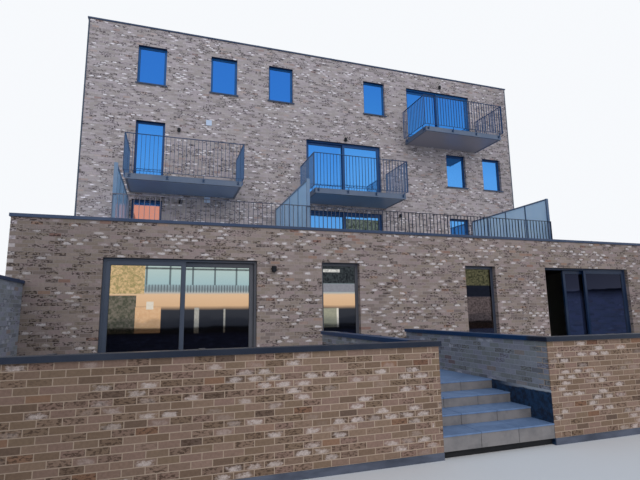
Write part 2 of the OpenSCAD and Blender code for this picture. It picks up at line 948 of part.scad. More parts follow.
// Fins from a balcony's bottom rail down and back to its channel, along a railing of this length
module rail_brackets(length, count) {
    near = (rail_d - bar_d) / 2;
    far = near + bar_d;
    top = balcony_bottom_rail_z + bottom_rail_h / 2;
    foot = bracket_h - bracket_below;
    for (i = [0 : count - 1])
        translate([bracket_end - bar_w / 2 + i * (length - 2 * bracket_end) / (count - 1), 0, 0])
            rotate([90, 0, 90])
                linear_extrude(bar_w)
                    polygon([[near, top], [far, top], [far, foot + channel_inset - far],
                             [channel_inset, foot], [channel_inset, -bracket_below], [far, -bracket_below],
                             [near, foot]]);
}

module balcony_rail_fronts() {
    color(dark_metal)
        on_plot()
            at_balconies()
                translate([0, rail_y, -balcony_drop]) {
                    rail_panel(balcony_w, rail_h, balcony_bottom_rail_z, balcony_bottom_rail_z, 1, bar_pitch);
                    rail_brackets(balcony_w, front_brackets);
                }
}

// A side railing on the left end of a balcony, from the front railing to the wall
module balcony_rail_side() {
    depth = balcony_out - rail_d;
    translate([0, rail_y + balcony_out, -balcony_drop])
        rotate([0, 0, -90]) {
            rail_panel(depth, rail_h, balcony_bottom_rail_z, balcony_bottom_rail_z, 1, bar_pitch);
            rail_brackets(depth, 2);
        }
}

module balcony_rail_sides() {
    color(dark_metal)
        on_plot()
            at_balconies() {
                balcony_rail_side();
                translate([balcony_w, 0, 0])
                    mirror([1, 0, 0])
                        balcony_rail_side();
            }
}

// TERRACE

// Railing along the front of the terrace, between the outer screens
module terrace_rail() {
    start = screen_x[0] - screen_front_w / 2;
    length = screen_x[2] + screen_front_w / 2 - start;
    color(dark_metal)
        on_plot()
            translate([start, terrace_rail_y, paving_z])
                rail_panel(length, terrace_rail_h, terrace_bottom_rail_z, 0, terrace_rail_bays,
                           terrace_bar_pitch);
}

// Dark posts and rails of the three screens that part the terrace
module screen_frames() {
    bay = (screen_d - screen_post) / screen_bays;
    half = screen_post / 2;
    color(dark_metal)
        on_plot()
            for (x = screen_x)
                translate([x, screen_y, paving_z]) {
                    block(-screen_front_w / 2, screen_front_w / 2, 0, screen_post, 0, screen_h);
                    for (i = [1 : screen_bays])
                        block(-half, half, i * bay, i * bay + screen_post, 0, screen_h);
                    for (z = [screen_foot, screen_h - screen_post])
                        block(-half, half, 0, screen_d, z, z + screen_post);
                }
}

// Frosted panes between the posts
module screen_glass() {
    bay = (screen_d - screen_post) / screen_bays;
    color("lightblue")
        on_plot()
            for (x = screen_x)
                translate([x - screen_glass_t / 2, screen_y, paving_z])
                    for (i = [0 : screen_bays - 1])
                        block(0, screen_glass_t, i * bay + screen_post, (i + 1) * bay,
                              screen_foot + screen_post, screen_h - screen_post);
}

// FITTINGS

// A round lamp on a short arm from a plate on the wall, whose face is at y
module wall_lamp(x, y, z) {
    r = lamp_dia / 2;
    h = lamp_h / 2;
    lamp_y = y - lamp_gap - r;
    translate([x, lamp_y, z])
        rotate_extrude($fn = 32)
            polygon([[0, -h], [r - lamp_edge, -h], [r, lamp_edge - h], [r, h - lamp_edge], [r - lamp_edge, h],
                     [0, h]]);
    block(x - lamp_arm / 2, x + lamp_arm / 2, lamp_y, y, z - lamp_arm / 2, z + lamp_arm / 2);
    translate([x, y - lamp_plate_t, z])
        rotate([-90, 0, 0])
            cylinder(h = lamp_plate_t, d = lamp_plate_dia, $fn = 32);
}

module wall_lamps() {
    color("black")
        on_plot() {
            for (p = upper_lamps)
                wall_lamp(p[0], front_y, p[1]);
            for (p = ground_lamps)
                wall_lamp(p[0], podium_y, p[1]);
        }
}

// Square white vent covers: a border, and slats that slope outwards over a recess
module vent_covers() {
    half = vent_size / 2;
    inner = half - vent_border;
    recess = vent_t / 2;
    slat_pitch = 2 * inner / vent_slats;
    color("white")
        on_plot()
            for (p = vents)
                translate([p[0], front_y, p[1]]) {
                    difference() {
                        block(-half, half, -vent_t, 0, -half, half);
                        block(-inner, inner, -vent_t - cut, -recess, -inner, inner);
                    }
                    for (i = [0 : vent_slats - 1])
                        translate([-inner, -recess, i * slat_pitch - inner])
                            rotate([90, 0, 90])
                                linear_extrude(2 * inner)
                                    polygon([[0, 0], [-recess, 0], [0, slat_pitch - slat_gap]]);
                }
}

front_garden_walls();
stair_walls();
side_garden_walls();
garden_copings();
wall_kerbs();
stair_membrane();
stair_core();
stair_treads();
stair_risers();
podium_foot();
podium_piers();
podium_head();
podium_side_walls();
floor_slabs();
terrace_paving();
front_wall_first();
front_wall_second();
front_wall_third();
gable_walls();
back_wall_ground();
back_wall_first();
back_wall_second();
back_wall_third();
roof_slab();
roof_copings();
edge_trims();
window_frames();
window_glass();
window_sills();
back_window_frames();
back_window_glass();
upper_door_frames();
upper_door_glass();
patio_frames();
patio_fixed_glass();
left_leaf_frame();
left_leaf_glass();
right_leaf_frame();
right_leaf_glass();
balcony_channels();
balcony_decks();
balcony_rail_fronts();
balcony_rail_sides();
terrace_rail();
screen_frames();
screen_glass();
wall_lamps();
vent_covers();
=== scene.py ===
import math

import bpy
import numpy as np
from mathutils import Matrix, Vector


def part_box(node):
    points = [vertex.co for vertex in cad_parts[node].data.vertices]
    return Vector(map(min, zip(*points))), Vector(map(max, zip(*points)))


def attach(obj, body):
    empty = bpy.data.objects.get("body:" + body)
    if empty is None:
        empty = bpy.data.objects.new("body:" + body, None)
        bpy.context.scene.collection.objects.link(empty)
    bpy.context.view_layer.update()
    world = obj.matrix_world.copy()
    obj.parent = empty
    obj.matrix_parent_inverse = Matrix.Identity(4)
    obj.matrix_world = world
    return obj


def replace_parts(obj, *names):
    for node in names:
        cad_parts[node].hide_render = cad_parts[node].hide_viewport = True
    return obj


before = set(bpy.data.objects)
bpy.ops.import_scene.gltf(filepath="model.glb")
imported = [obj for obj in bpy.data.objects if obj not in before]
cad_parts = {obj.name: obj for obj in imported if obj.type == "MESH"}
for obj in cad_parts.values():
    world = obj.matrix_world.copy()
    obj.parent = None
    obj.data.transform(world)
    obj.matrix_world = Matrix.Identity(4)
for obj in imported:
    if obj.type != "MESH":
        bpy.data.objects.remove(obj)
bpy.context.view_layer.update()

# THE VIEW FROM THE FRONT
# The camera stands at eye height before the garden walls, left of the stair, turned to the right and
# tilted up. Its lens is the one that the photograph's upright and level edges give.
eye = Vector((-5.805, -16.045, 1.83))
yaw, pitch, roll = (math.radians(a) for a in (18.65, 9.15, -0.78))
focal_px, image_w, sensor_w = 452.0, 640.0, 36.0
ahead = Vector((math.sin(yaw) * math.cos(pitch), math.cos(yaw) * math.cos(pitch), math.sin(pitch)))
level = Vector((math.cos(yaw), -math.sin(yaw), 0.0))
upward = level.cross(ahead)
image_right = level * math.cos(roll) + upward * math.sin(roll)
image_up = upward * math.cos(roll) - level * math.sin(roll)
camera_data = bpy.data.cameras.new("street_view")
camera_data.sensor_width = sensor_w
camera_data.lens = focal_px / image_w * sensor_w
camera = bpy.data.objects.new("street_view", camera_data)
camera.matrix_world = Matrix.Translation(eye) @ Matrix((image_right, image_up, -ahead)).transposed().to_4x4()
bpy.context.scene.collection.objects.link(camera)
bpy.context.scene.camera = camera

# GARDEN WALLS
# Brick walls along the front, beside the stair and down both sides of the plot. They are fired clay
# stretchers in half bond with flush sandy joints, and the brick at each corner turns onto the next face.
brick_pitch, brick_joint, brick_header = 0.222, 0.011, 0.1055
brick_proud, brick_sunk, jamb_proud = 0.0025, 0.012, 0.002
shortest_cut, thinnest_course = 0.045, 0.03
brick_tilt, brick_uneven, patch_scale, patch_flatness = 0.006, 0.0009, 1.15, 5.5


def socket_of(sockets, key):
    """The socket that has a number or a name."""
    return sockets[key] if isinstance(key, int) else next(s for s in sockets if s.name == key)


def operation(kind, swapped=False):
    """The method that adds one Math node for an operator."""
    def apply(self, other):
        first, second = (other, self) if swapped else (self, other)
        return self.add("ShaderNodeMath", {"operation": kind}, {0: first, 1: second})
    return apply


class Wire:
    """A socket of a node tree. Sums and products of wires add Math nodes, add() adds any other node."""

    def __init__(self, tree, socket=None):
        self.tree, self.socket = tree, socket

    def add(self, kind, settings, sockets, out=0):
        made = self.tree.nodes.new(kind)
        for name, value in settings.items():
            if name == "stops":
                elements = made.color_ramp.elements
                while len(elements) < len(value):
                    elements.new(0.5)
                for element, (place, colour) in zip(elements, value):
                    element.position = place
                    element.color = (*colour, 1.0)
            else:
                setattr(made, name, value)
        usable = [s for s in made.inputs if s.enabled]
        for key, value in sockets.items():
            target = socket_of(usable, key)
            if isinstance(value, Wire):
                self.tree.links.new(value.socket, target)
            else:
                target.default_value = value
        results = [s for s in made.outputs if s.enabled]
        return Wire(self.tree, socket_of(results, out)) if results else None

    __add__ = __radd__ = operation("ADD")
    __mul__ = __rmul__ = operation("MULTIPLY")
    __sub__ = operation("SUBTRACT")
    __rsub__ = operation("SUBTRACT", True)
    __gt__ = operation("GREATER_THAN")
    __lt__ = operation("LESS_THAN")
    __mod__ = operation("FLOORED_MODULO")


def paint(red, green, blue):
    """A colour given as 0 to 255 turned into the linear values that a shader takes."""
    return tuple(((c / 255 + 0.055) / 1.055) ** 2.4 for c in (red, green, blue))


def stained(amount, under, over):
    """One colour laid over another, by an amount from 0 to 1."""
    start = next(value for value in (amount, under, over) if isinstance(value, Wire))
    under, over = (c if isinstance(c, Wire) else (*c, 1.0) for c in (under, over))
    return start.add("ShaderNodeMix", {"data_type": "RGBA"}, {"Factor": amount, "A": under, "B": over})


def shaded(colour, brightness):
    """A colour made brighter or darker by a number that changes over the surface."""
    return brightness.add("ShaderNodeVectorMath", {"operation": "SCALE"}, {0: colour, "Scale": brightness})


def smooth(value, low, high):
    """A soft step from 0 to 1."""
    return value.add("ShaderNodeMapRange", {"interpolation_type": "SMOOTHSTEP"},
                     {"Value": value, "From Min": low, "From Max": high})


def scaled(spot, x, y, z):
    """The same places on a grid that is finer or coarser each way."""
    return spot.add("ShaderNodeMapping", {}, {"Vector": spot, "Scale": (x, y, z)})


def noise(spot, scale, detail=2.0, roughness=0.5):
    """A cloudy number between 0 and 1."""
    return spot.add("ShaderNodeTexNoise", {}, {"Vector": spot, "Scale": scale, "Detail": detail,
                                               "Roughness": roughness})


def surface(colour, roughness, height, depth):
    """What changes over a surface. Its height runs from 0 to 1 over a depth in metres."""
    normal = height.add("ShaderNodeBump", {}, {"Height": height, "Distance": depth, "Strength": 1.0})
    return {"Base Color": colour, "Roughness": roughness, "Normal": normal}


def along(spot, axis):
    """How far a place lies along one axis."""
    return spot.add("ShaderNodeSeparateXYZ", {}, {"Vector": spot}, axis)


def finish(name, fixed, look):
    """A material: fixed holds the shader's constant sockets, and look gives the ones that change."""
    made = bpy.data.materials.new(name)
    made.use_nodes = True
    tree = made.node_tree
    shader = tree.nodes["Principled BSDF"]
    for socket, value in fixed.items():
        shader.inputs[socket].default_value = value
    spot = Wire(tree).add("ShaderNodeTexCoord", {}, {}, "Object")
    for socket, wire in look(spot).items():
        tree.links.new(wire.socket, shader.inputs[socket])
    return made


def dress(made, *nodes):
    """Gives carried-over nodes their finish."""
    for node in nodes:
        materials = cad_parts[node].data.materials
        materials.clear()
        materials.append(made)


def solids(node):
    """The boxes of a node's separate solids, as pairs of low and high corners."""
    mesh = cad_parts[node].data
    points = np.array([v.co[:] for v in mesh.vertices])
    names = {}
    merged = [names.setdefault(tuple(p), len(names)) for p in np.round(points, 5)]
    leader = list(range(len(names)))

    def lead(i):
        while leader[i] != i:
            i = leader[i]
        return i

    for face in mesh.polygons:
        first, *others = (merged[v] for v in face.vertices)
        for other in others:
            leader[lead(other)] = lead(first)
    groups = {}
    for point, name in zip(points, merged):
        groups.setdefault(lead(name), []).append(point)
    return [(np.min(group, 0), np.max(group, 0)) for group in groups.values()]


def in_order(node):
    """The boxes of a node's solids from left to right, and from front to back where they stand in line."""
    return sorted(solids(node), key=lambda solid: tuple(solid[0]))


def course_lines(levels, course):
    """Heights of the bed joints, in even courses between the levels that the brickwork has to meet."""
    lines = [levels[0]]
    for low, high in zip(levels, levels[1:]):
        lines.extend(np.linspace(low, high, max(1, round((high - low) / course)) + 1)[1:])
    return lines


def lay_face(side, plane, start, end, bottom, top, lines, turned=(False, False), openings=(), origin=None):
    """Bricks of one wall face, each as x, y, z, length, depth, height and turn."""
    along_x = side[1] == "y"
    outward = -1 if side[0] == "-" else 1
    turn = {"-y": 0.0, "+x": 0.5, "+y": 1.0, "-x": -0.5}[side] * math.pi
    origin = start if origin is None else origin
    rows = []
    for number, (low, high) in enumerate(zip(lines, lines[1:])):
        low, high = max(low, bottom), min(high, top)
        if high - low < thinnest_course:
            continue
        wraps = (number % 2 == 0) == along_x
        shift = 0.0 if wraps else brick_pitch / 2
        plain = (0.0, 0.0, brick_sunk)
        corner = (shift, brick_proud, brick_header) if wraps else (shift, -brick_joint / 2, brick_sunk)
        (inset, beyond, depth), (inset_2, beyond_2, depth_2) = (corner if t else plain for t in turned)
        ends = [(start + inset, beyond, depth)]
        for left, right, sill, head, reveal in sorted(openings):
            if min(high, head) - max(low, sill) > (high - low) / 2:
                ends += [(left, jamb_proud, reveal), (right, jamb_proud, reveal)]
        ends.append((end - inset_2, beyond_2, depth_2))
        for (a, over_a, deep_a), (b, over_b, deep_b) in zip(ends[::2], ends[1::2]):
            first = math.ceil((a + shortest_cut - origin - shift) / brick_pitch)
            last = math.floor((b - shortest_cut - origin - shift) / brick_pitch)
            joints = [origin + shift + k * brick_pitch for k in range(first, last + 1)]
            lefts = [a - over_a] + [j + brick_joint / 2 for j in joints]
            rights = [j - brick_joint / 2 for j in joints] + [b + over_b]
            for i, (left, right) in enumerate(zip(lefts, rights)):
                deep = max(deep_a if i == 0 else brick_sunk, deep_b if i == len(joints) else brick_sunk)
                out = plane + outward * (brick_proud - deep) / 2
                middle = (left + right) / 2
                x, y = (middle, out) if along_x else (out, middle)
                rows.append((x, y, (low + high) / 2, right - left, deep + brick_proud,
                             high - low - brick_joint, turn))
    return rows


def node_group(name, inputs, output):
    """An empty Geometry Nodes tree, a wire to start from and a function that gives its named inputs."""
    tree = bpy.data.node_groups.new(name, "GeometryNodeTree")
    for title, kind in inputs.items():
        tree.interface.new_socket(title, in_out="INPUT", socket_type="NodeSocket" + kind)
    tree.interface.new_socket(output, in_out="OUTPUT", socket_type="NodeSocketGeometry")
    start = Wire(tree)
    return tree, start, lambda title: start.add("NodeGroupInput", {}, {}, title)


def close_group(start, material, output, **sockets):
    """Ends a tree: an instance on every point, made real and given its finish."""
    made = start.add("GeometryNodeInstanceOnPoints", {}, sockets)
    made = start.add("GeometryNodeRealizeInstances", {}, {"Geometry": made})
    made = start.add("GeometryNodeSetMaterial", {}, {"Geometry": made, "Material": material})
    start.add("NodeGroupOutput", {}, {output: made})


def chance(start, low, high, seed):
    """A random number for each point, drawn with a fixed seed."""
    return start.add("FunctionNodeRandomValue", {"data_type": "FLOAT"},
                     {"Min": low, "Max": high, "Seed": seed})


def marked(start, kind, mark):
    """What a named attribute says on each point."""
    return start.add("GeometryNodeInputNamedAttribute", {"data_type": kind}, {"Name": mark})


def xyz(start, **parts):
    """A vector from its parts."""
    return start.add("ShaderNodeCombineXYZ", {}, parts)


def brick_tree():
    """Puts a brick on each point, a little uneven, and gives it its own tone from the firing."""
    tree, start, given = node_group("laid_bricks", {
        "Beds": "Geometry", "Tilt": "Float", "Unevenness": "Float", "Patch Scale": "Float",
        "Patch Strength": "Float", "Finish": "Material"}, "Bricks")
    tilt, uneven = given("Tilt"), given("Unevenness")
    position = start.add("GeometryNodeInputPosition", {}, {})
    turn = marked(start, "FLOAT", "turn") + chance(start, tilt * -1.0, tilt, 2)
    angles = xyz(start, X=chance(start, tilt * -1.0, tilt, 1), Z=turn)
    rotation = start.add("FunctionNodeEulerToRotation", {}, {0: angles})
    push = xyz(start, Y=chance(start, uneven * -1.0, uneven, 3))
    push = start.add("FunctionNodeRotateVector", {}, {0: push, 1: rotation})
    beds = start.add("GeometryNodeSetPosition", {}, {"Geometry": given("Beds"), "Offset": push})
    place = start.add("ShaderNodeVectorMath", {"operation": "MULTIPLY"},
                      {0: position, 1: (1.0, 1.0, patch_flatness)})
    patches = (noise(place, given("Patch Scale"), 1.0) - 0.5) * given("Patch Strength")
    for mark, value in (("tone", chance(start, 0.0, 1.0, 4)), ("pale", chance(start, 0.0, 1.0, 5) + patches),
                        ("spotted", chance(start, 0.0, 1.0, 6) + patches * 0.5)):
        beds = start.add("GeometryNodeStoreNamedAttribute", {"data_type": "FLOAT", "domain": "POINT"},
                         {"Geometry": beds, "Name": mark, "Value": value})
    block = start.add("GeometryNodeMeshCube", {}, {"Size": (1.0, 1.0, 1.0)})
    block = start.add("GeometryNodeDeleteGeometry", {"domain": "FACE"},
                      {"Geometry": block, "Selection": along(position, "Y") > 0.49})
    block = start.add("GeometryNodeStoreNamedAttribute", {"data_type": "FLOAT_VECTOR", "domain": "POINT"},
                      {"Geometry": block, "Name": "face", "Value": position})
    close_group(start, given("Finish"), "Bricks", Points=beds, Instance=block, Rotation=rotation,
                Scale=marked(start, "FLOAT_VECTOR", "size"))
    return tree


def grown(name, points, marks, tree, inputs):
    """A piece of the fixed block that a Geometry Nodes tree makes from points with named marks."""
    beds = bpy.data.meshes.new(name)
    beds.from_pydata(points.tolist(), [], [])
    for mark, values in marks.items():
        kind, field = ("FLOAT_VECTOR", "vector") if values.ndim == 2 else ("FLOAT", "value")
        beds.attributes.new(mark, kind, "POINT").data.foreach_set(field, values.ravel())
    piece = bpy.data.objects.new(name, beds)
    bpy.context.scene.collection.objects.link(piece)
    growth = piece.modifiers.new("growth", "NODES")
    growth.node_group = tree
    for item in tree.interface.items_tree:
        if item.in_out == "INPUT" and item.name in inputs:
            growth[item.identifier] = inputs[item.name]
    result = bpy.data.meshes.new_from_object(piece.evaluated_get(bpy.context.evaluated_depsgraph_get()))
    piece.modifiers.remove(growth)
    piece.data = result
    for mark in marks:
        result.attributes.remove(result.attributes[mark])
    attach(piece, "block")


bricklaying = brick_tree()


def lay_bricks(name, rows, material, patchy=1.5):
    """A piece of laid bricks, with pale bricks that gather in patches."""
    rows = np.array(rows)
    grown(name, rows[:, :3], {"size": rows[:, 3:6], "turn": rows[:, 6]}, bricklaying, {
        "Tilt": brick_tilt, "Unevenness": brick_uneven, "Patch Scale": patch_scale, "Patch Strength": patchy,
        "Finish": material})


street_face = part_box("front_garden_walls")[0][1]
# Painted shade: the cool tint, and the soft edge where it starts behind the street face.
painted_shade_tint, painted_shade_edge = (1.0, 1.52, 2.3), 0.02
dark_clay = [(0.0, 0.62, 0.0, 0.0), (0.1, 0.84, 0.02, -0.1), (0.3, 0.96, -0.03, -0.12)]
plain_clay = [(0.45, 0.98, 0.0, 0.0), (0.6, 1.04, 0.04, 0.06), (0.8, 1.06, -0.02, -0.08)]
pale_clay = [(0.955, 1.17, 0.0, 0.04)]
red_clay = [(0.965, 1.02, 0.14, -0.14), (0.985, 0.84, 0.24, -0.2), (1.0, 0.58, 0.4, -0.1)]


def fired(plain, spread, reds):
    """The tones of one batch of bricks about a plain one, from the share of them up to each tone, its
    brightness and how much redder and bluer it is."""
    return [(share, tuple(c * (1.0 + (brightness - 1.0) * spread) * (1.0 + tint * reds)
                          for c, tint in zip(plain, (red, 0.0, blue))))
            for share, brightness, red, blue in dark_clay + plain_clay + pale_clay + red_clay]


def painted_shade_along(spot, ends):
    """How bright a wall is along its length: painted shade darkens it towards some of its ends."""
    return math.prod(smooth(along(spot, "X"), start, end) * (1.0 - dark) + dark for dark, start, end in ends)


def brick(name, plain, bloomed, creased, bloom_from, crease_from, spread=1.0, reds=1.0, shaded_ends=(), fineness=1.0,
          reach=0.6, strength=0.05, flatness=1.9, painted_shade_depth=0.0):
    """Fired brick with a pale bloom in its middle, dark creases and a sandy grain. Behind the front face,
    as deep as given, it takes a cool tint of painted shade, and painted shade darkens it towards any
    ends given."""
    tones = fired(plain, spread, reds)

    def look(spot):
        def stored(mark, kind="Fac"):
            return spot.add("ShaderNodeAttribute", {"attribute_name": mark}, {}, kind)

        def drawn_out(level_scale, upright_scale, detail, roughness):
            scales = [scale * fineness for scale in (level_scale, level_scale, upright_scale)]
            return noise(scaled(spot, *scales), 1.0, detail, roughness)

        colour = spot.add("ShaderNodeValToRGB", {"stops": tones}, {"Fac": stored("tone")}, "Color")
        # Painted shade: behind the street face, as deep as given, the brick takes a cool blue tint.
        if painted_shade_depth:
            y = along(spot, "Y")
            inward = smooth(y, street_face, street_face + painted_shade_edge) * (y < street_face + painted_shade_depth)
            colour = colour.add("ShaderNodeVectorMath", {"operation": "MULTIPLY"},
                                {0: colour, 1: stained(inward, (1.0, 1.0, 1.0), painted_shade_tint)})
        face = stored("face", "Vector")
        across, upright = along(face, "X"), along(face, "Z") + 0.2
        middle = (1.0 - across * across * 3.6) * (1.0 - upright * upright * flatness)
        fine = noise(spot, 95.0, 3.0, 0.7)
        rough = noise(spot, 34.0 * fineness, 3.0, 0.65)
        creases = smooth(stored("spotted"), crease_from, crease_from + 0.12) * smooth(
            drawn_out(22.0, 48.0, 3.0, 0.7), 0.48, 0.48 + 0.12 * fineness)
        # Painted shade along the wall, which also thins the pale blooms where it is darkest.
        painted_shade = painted_shade_along(spot, shaded_ends)
        bloom = smooth(stored("pale") + (painted_shade - 1.0) * 0.25, bloom_from, bloom_from + 0.26) * smooth(
            drawn_out(19.0, 34.0, 4.0, 0.75) + middle * 0.4, reach, reach + 0.3 * fineness * fineness)
        colour = stained(creases * 0.85, colour, creased)
        colour = stained(bloom * (fine * 1.4 + strength), colour, bloomed)
        colour = shaded(colour, (fine * 0.3 + rough * 0.6 + 0.55) * painted_shade)
        height = fine * 0.6 + noise(spot, 30.0, 2.0) * 0.4
        return surface(colour, 0.96 - fine * 0.14, height, 0.003)
    return finish(name, {"Specular IOR Level": 0.25}, look)


def mortar(name, colour, rooms=None, shaded_ends=()):
    """Sandy mortar outside, and matt plaster within the rooms' box where one is given."""
    def look(spot):
        sand = noise(spot, 240.0, 2.0, 0.8)
        shade = stained(noise(spot, 2.4, 3.0), colour, tuple(c * 0.88 for c in colour))
        shade = shaded(shade, (sand * 0.2 + 0.9) * painted_shade_along(spot, shaded_ends))
        if rooms:
            places = [(along(spot, axis), low, high) for axis, low, high in zip("XYZ", *rooms)]
            inside = math.prod((place > low) * (place < high) for place, low, high in places)
            shade = stained(inside, shade, paint(196, 193, 187))
        return surface(shade, sand * 0.1 + 0.88, sand, 0.0015)
    return finish(name, {"Specular IOR Level": 0.2}, look)


# Painted shade: the garden walls grow darker towards their left end.
garden_painted_shade = [(0.68, -7.6, -3.6)]
garden_brick = brick(
    "garden_brick", paint(130, 108, 95), paint(198, 184, 178), paint(70, 54, 44), bloom_from=0.64,
    crease_from=0.5, spread=1.15, reds=0.85, shaded_ends=garden_painted_shade, painted_shade_depth=0.15)
# The stair walls' bricks take the painted cool shade all over; the side walls' bricks are painted lighter
# too.
stair_brick_painted_shade = brick(
    "stair_brick_painted_shade", paint(132, 110, 96), paint(190, 188, 196), paint(70, 62, 62), bloom_from=0.85,
    crease_from=0.75, painted_shade_depth=10.0)
side_brick = brick(
    "side_brick", paint(146, 122, 108), paint(196, 196, 206), paint(76, 68, 70), bloom_from=0.85,
    crease_from=0.75, painted_shade_depth=30.0)
dress(mortar("garden_mortar", paint(181, 161, 144), shaded_ends=garden_painted_shade), "front_garden_walls")
# The stair and side walls' mortar is a cool grey copy of the garden mortar: painted shade.
dress(mortar("stair_mortar_painted_shade", paint(160, 162, 172)), "stair_walls", "side_garden_walls")

street_walls, beside_stair, side_walls = (
    in_order(node) for node in ("front_garden_walls", "stair_walls", "side_garden_walls"))
left_low, left_high = street_walls[0]
street_y, garden_y, corner_x = left_low[1], left_high[1], side_walls[0][0][0]
wall_foot, wall_top = left_low[2], left_high[2]
garden_courses, courses_below, courses_above = 17, 1, 14
garden_course = (wall_top - wall_foot) / garden_courses
course_numbers = range(-courses_below, garden_courses + courses_above + 1)
garden_lines = [wall_foot + garden_course * number for number in course_numbers]
(left_of_stair, _), (_, right_of_stair) = beside_stair
rows = []
for (low, high), turned in zip(street_walls, ((False, True), (True, False))):
    rows += lay_face("-y", street_y, low[0], high[0], wall_foot, wall_top, garden_lines, turned,
                     origin=corner_x)
    inner = (low[0], left_of_stair[0]) if turned[1] else (right_of_stair[0], high[0])
    rows += lay_face("+y", garden_y, *inner, wall_foot, wall_top, garden_lines)
lay_bricks("street_wall_bricks", rows, garden_brick)
rows = []
for (low, high), passage, garden in zip(beside_stair, ("+x", "-x"), ("-x", "+x")):
    face, back = (high[0], low[0]) if passage == "+x" else (low[0], high[0])
    rows += lay_face(passage, face, street_y, high[1], low[2], high[2], garden_lines, (True, True))
    rows += lay_face(garden, back, garden_y, high[1], low[2], high[2], garden_lines, (False, True))
    rows += lay_face("+y", high[1], low[0], high[0], low[2], high[2], garden_lines, (True, True))
lay_bricks("stair_wall_bricks", rows, stair_brick_painted_shade)
rows = []
for (low, high), outer, inner in zip(side_walls, ("-x", "+x"), ("+x", "-x")):
    face, back = (low[0], high[0]) if outer == "-x" else (high[0], low[0])
    rows += lay_face(outer, face, low[1], high[1], low[2], high[2], garden_lines, (True, False))
    rows += lay_face(inner, back, garden_y, high[1], low[2], wall_top, garden_lines)
    rows += lay_face(inner, back, low[1], high[1], wall_top, high[2], garden_lines, (True, False))
    rows += lay_face("-y", low[1], low[0], high[0], low[2], wall_top, garden_lines,
                     (outer == "-x", outer == "+x"), origin=corner_x)
    rows += lay_face("-y", low[1], low[0], high[0], wall_top, high[2], garden_lines, (True, True))
lay_bricks("side_wall_bricks", rows, side_brick)

# KERBS
# Low concrete plinths that the front garden walls stand on, cast in place and dark with splashed rain.
# The flight under the stair and the floor slabs are of cast concrete too.
def concrete(name, colour, stain):
    """Cast concrete with cloudy stains and fine pores."""
    def look(spot):
        cloud = noise(scaled(spot, 1.0, 1.0, 3.0), 1.7, 4.0, 0.6)
        pores = noise(spot, 130.0, 2.0, 0.7)
        shade = shaded(stained(smooth(cloud, 0.35, 0.7), colour, stain), pores * 0.2 + 0.9)
        return surface(shade, cloud * 0.2 + 0.7, pores, 0.001)
    return finish(name, {}, look)


dress(concrete("kerb_concrete", paint(88, 94, 110), paint(60, 65, 78)), "wall_kerbs")
# The flight's concrete is near black: painted shade in the recess under the first riser.
dress(concrete("flight_concrete_painted_shade", paint(24, 24, 28), paint(14, 14, 18)), "stair_core")
dress(concrete("slab_concrete", paint(140, 139, 136), paint(112, 112, 112)), "floor_slabs")

# GARDEN COPINGS
# Pressed aluminium caps on the garden walls, powder coated in anthracite. They come in lengths of about
# 1.5 m, and a sleeve of the same sheet covers each joint between two of them.
strap_w, strap_t, coping_length = 0.07, 0.001, 1.49
painted_sky_from, painted_sky_w = 0.3, 0.1


def coated_look(colour, dust, dust_colour=(0.30, 0.32, 0.36), beyond=()):
    """Satin powder coat with a faint orange peel and dust, and a tone of painted light and shade beyond
    any places given.
    """
    def look(spot):
        cloud = noise(spot, 1.3, 4.0, 0.6)
        tone = colour
        # Painted light and shade: another tone beyond each place given.
        for axis, start, end, other in beyond:
            tone = stained(smooth(along(spot, axis), start, end), tone, other)
        shade = stained(smooth(cloud, 0.3, 0.8) * dust, tone, dust_colour)
        return surface(shade, cloud * 0.18 + 0.3, noise(spot, 420.0, 1.0), 0.00012)
    return look


def coat(name, colour, dust, shine=0.5, **more):
    """A coated finish of its own colour, dust and shine."""
    return finish(name, {"Specular IOR Level": shine}, coated_look(colour, dust, **more))


def joined(name, parts, material, body="block"):
    """One piece made of parts, each given by its points and its faces."""
    points, faces = [], []
    for part_points, part_faces in parts:
        faces += [[corner + len(points) for corner in face] for face in part_faces]
        points += part_points
    mesh = bpy.data.meshes.new(name)
    mesh.from_pydata(points, [], faces)
    mesh.materials.append(material)
    piece = bpy.data.objects.new(name, mesh)
    bpy.context.scene.collection.objects.link(piece)
    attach(piece, body)
    return piece


def chamfered(name, blocks, edge, material, body="block"):
    """One piece of blocks with chamfered edges, each given by its low and high corner."""
    signs = [(x, y, z) for x in (-1, 1) for y in (-1, 1) for z in (-1, 1)]
    number = {(s, a): 3 * i + a for i, s in enumerate(signs) for a in range(3)}
    unit = np.array([[s[b] * (1.0 if a == b else 0.8) for b in range(3)] for s in signs for a in range(3)])
    faces = [[number[s, a] for a in range(3)] for s in signs]
    for a in range(3):
        b = (a + 1) % 3
        for sign in (-1, 1):
            corners = (tuple(sign if k == a else p if k == b else q for k in range(3))
                       for p, q in ((-1, -1), (1, -1), (1, 1), (-1, 1)))
            faces.append([number[corner, a] for corner in corners])
            for sign_2 in (-1, 1):
                ends = [tuple(sign if k == a else sign_2 if k == b else e for k in range(3)) for e in (-1, 1)]
                faces.append([number[end, axis] for end, axis in zip(ends + ends[::-1], (a, a, b, b))])
    for face in faces:
        points = unit[face]
        if np.dot(np.cross(points[1] - points[0], points[2] - points[1]), points.mean(0)) < 0:
            face.reverse()
    ridge = (np.abs(unit) > 0.9).astype(float)
    parts = []
    for low, high in np.array(blocks, float):
        half = (high - low) / 2
        parts.append((((low + high) / 2 + np.sign(unit) * (half - edge * (1.0 - ridge))).tolist(), faces))
    return joined(name, parts, material, body)


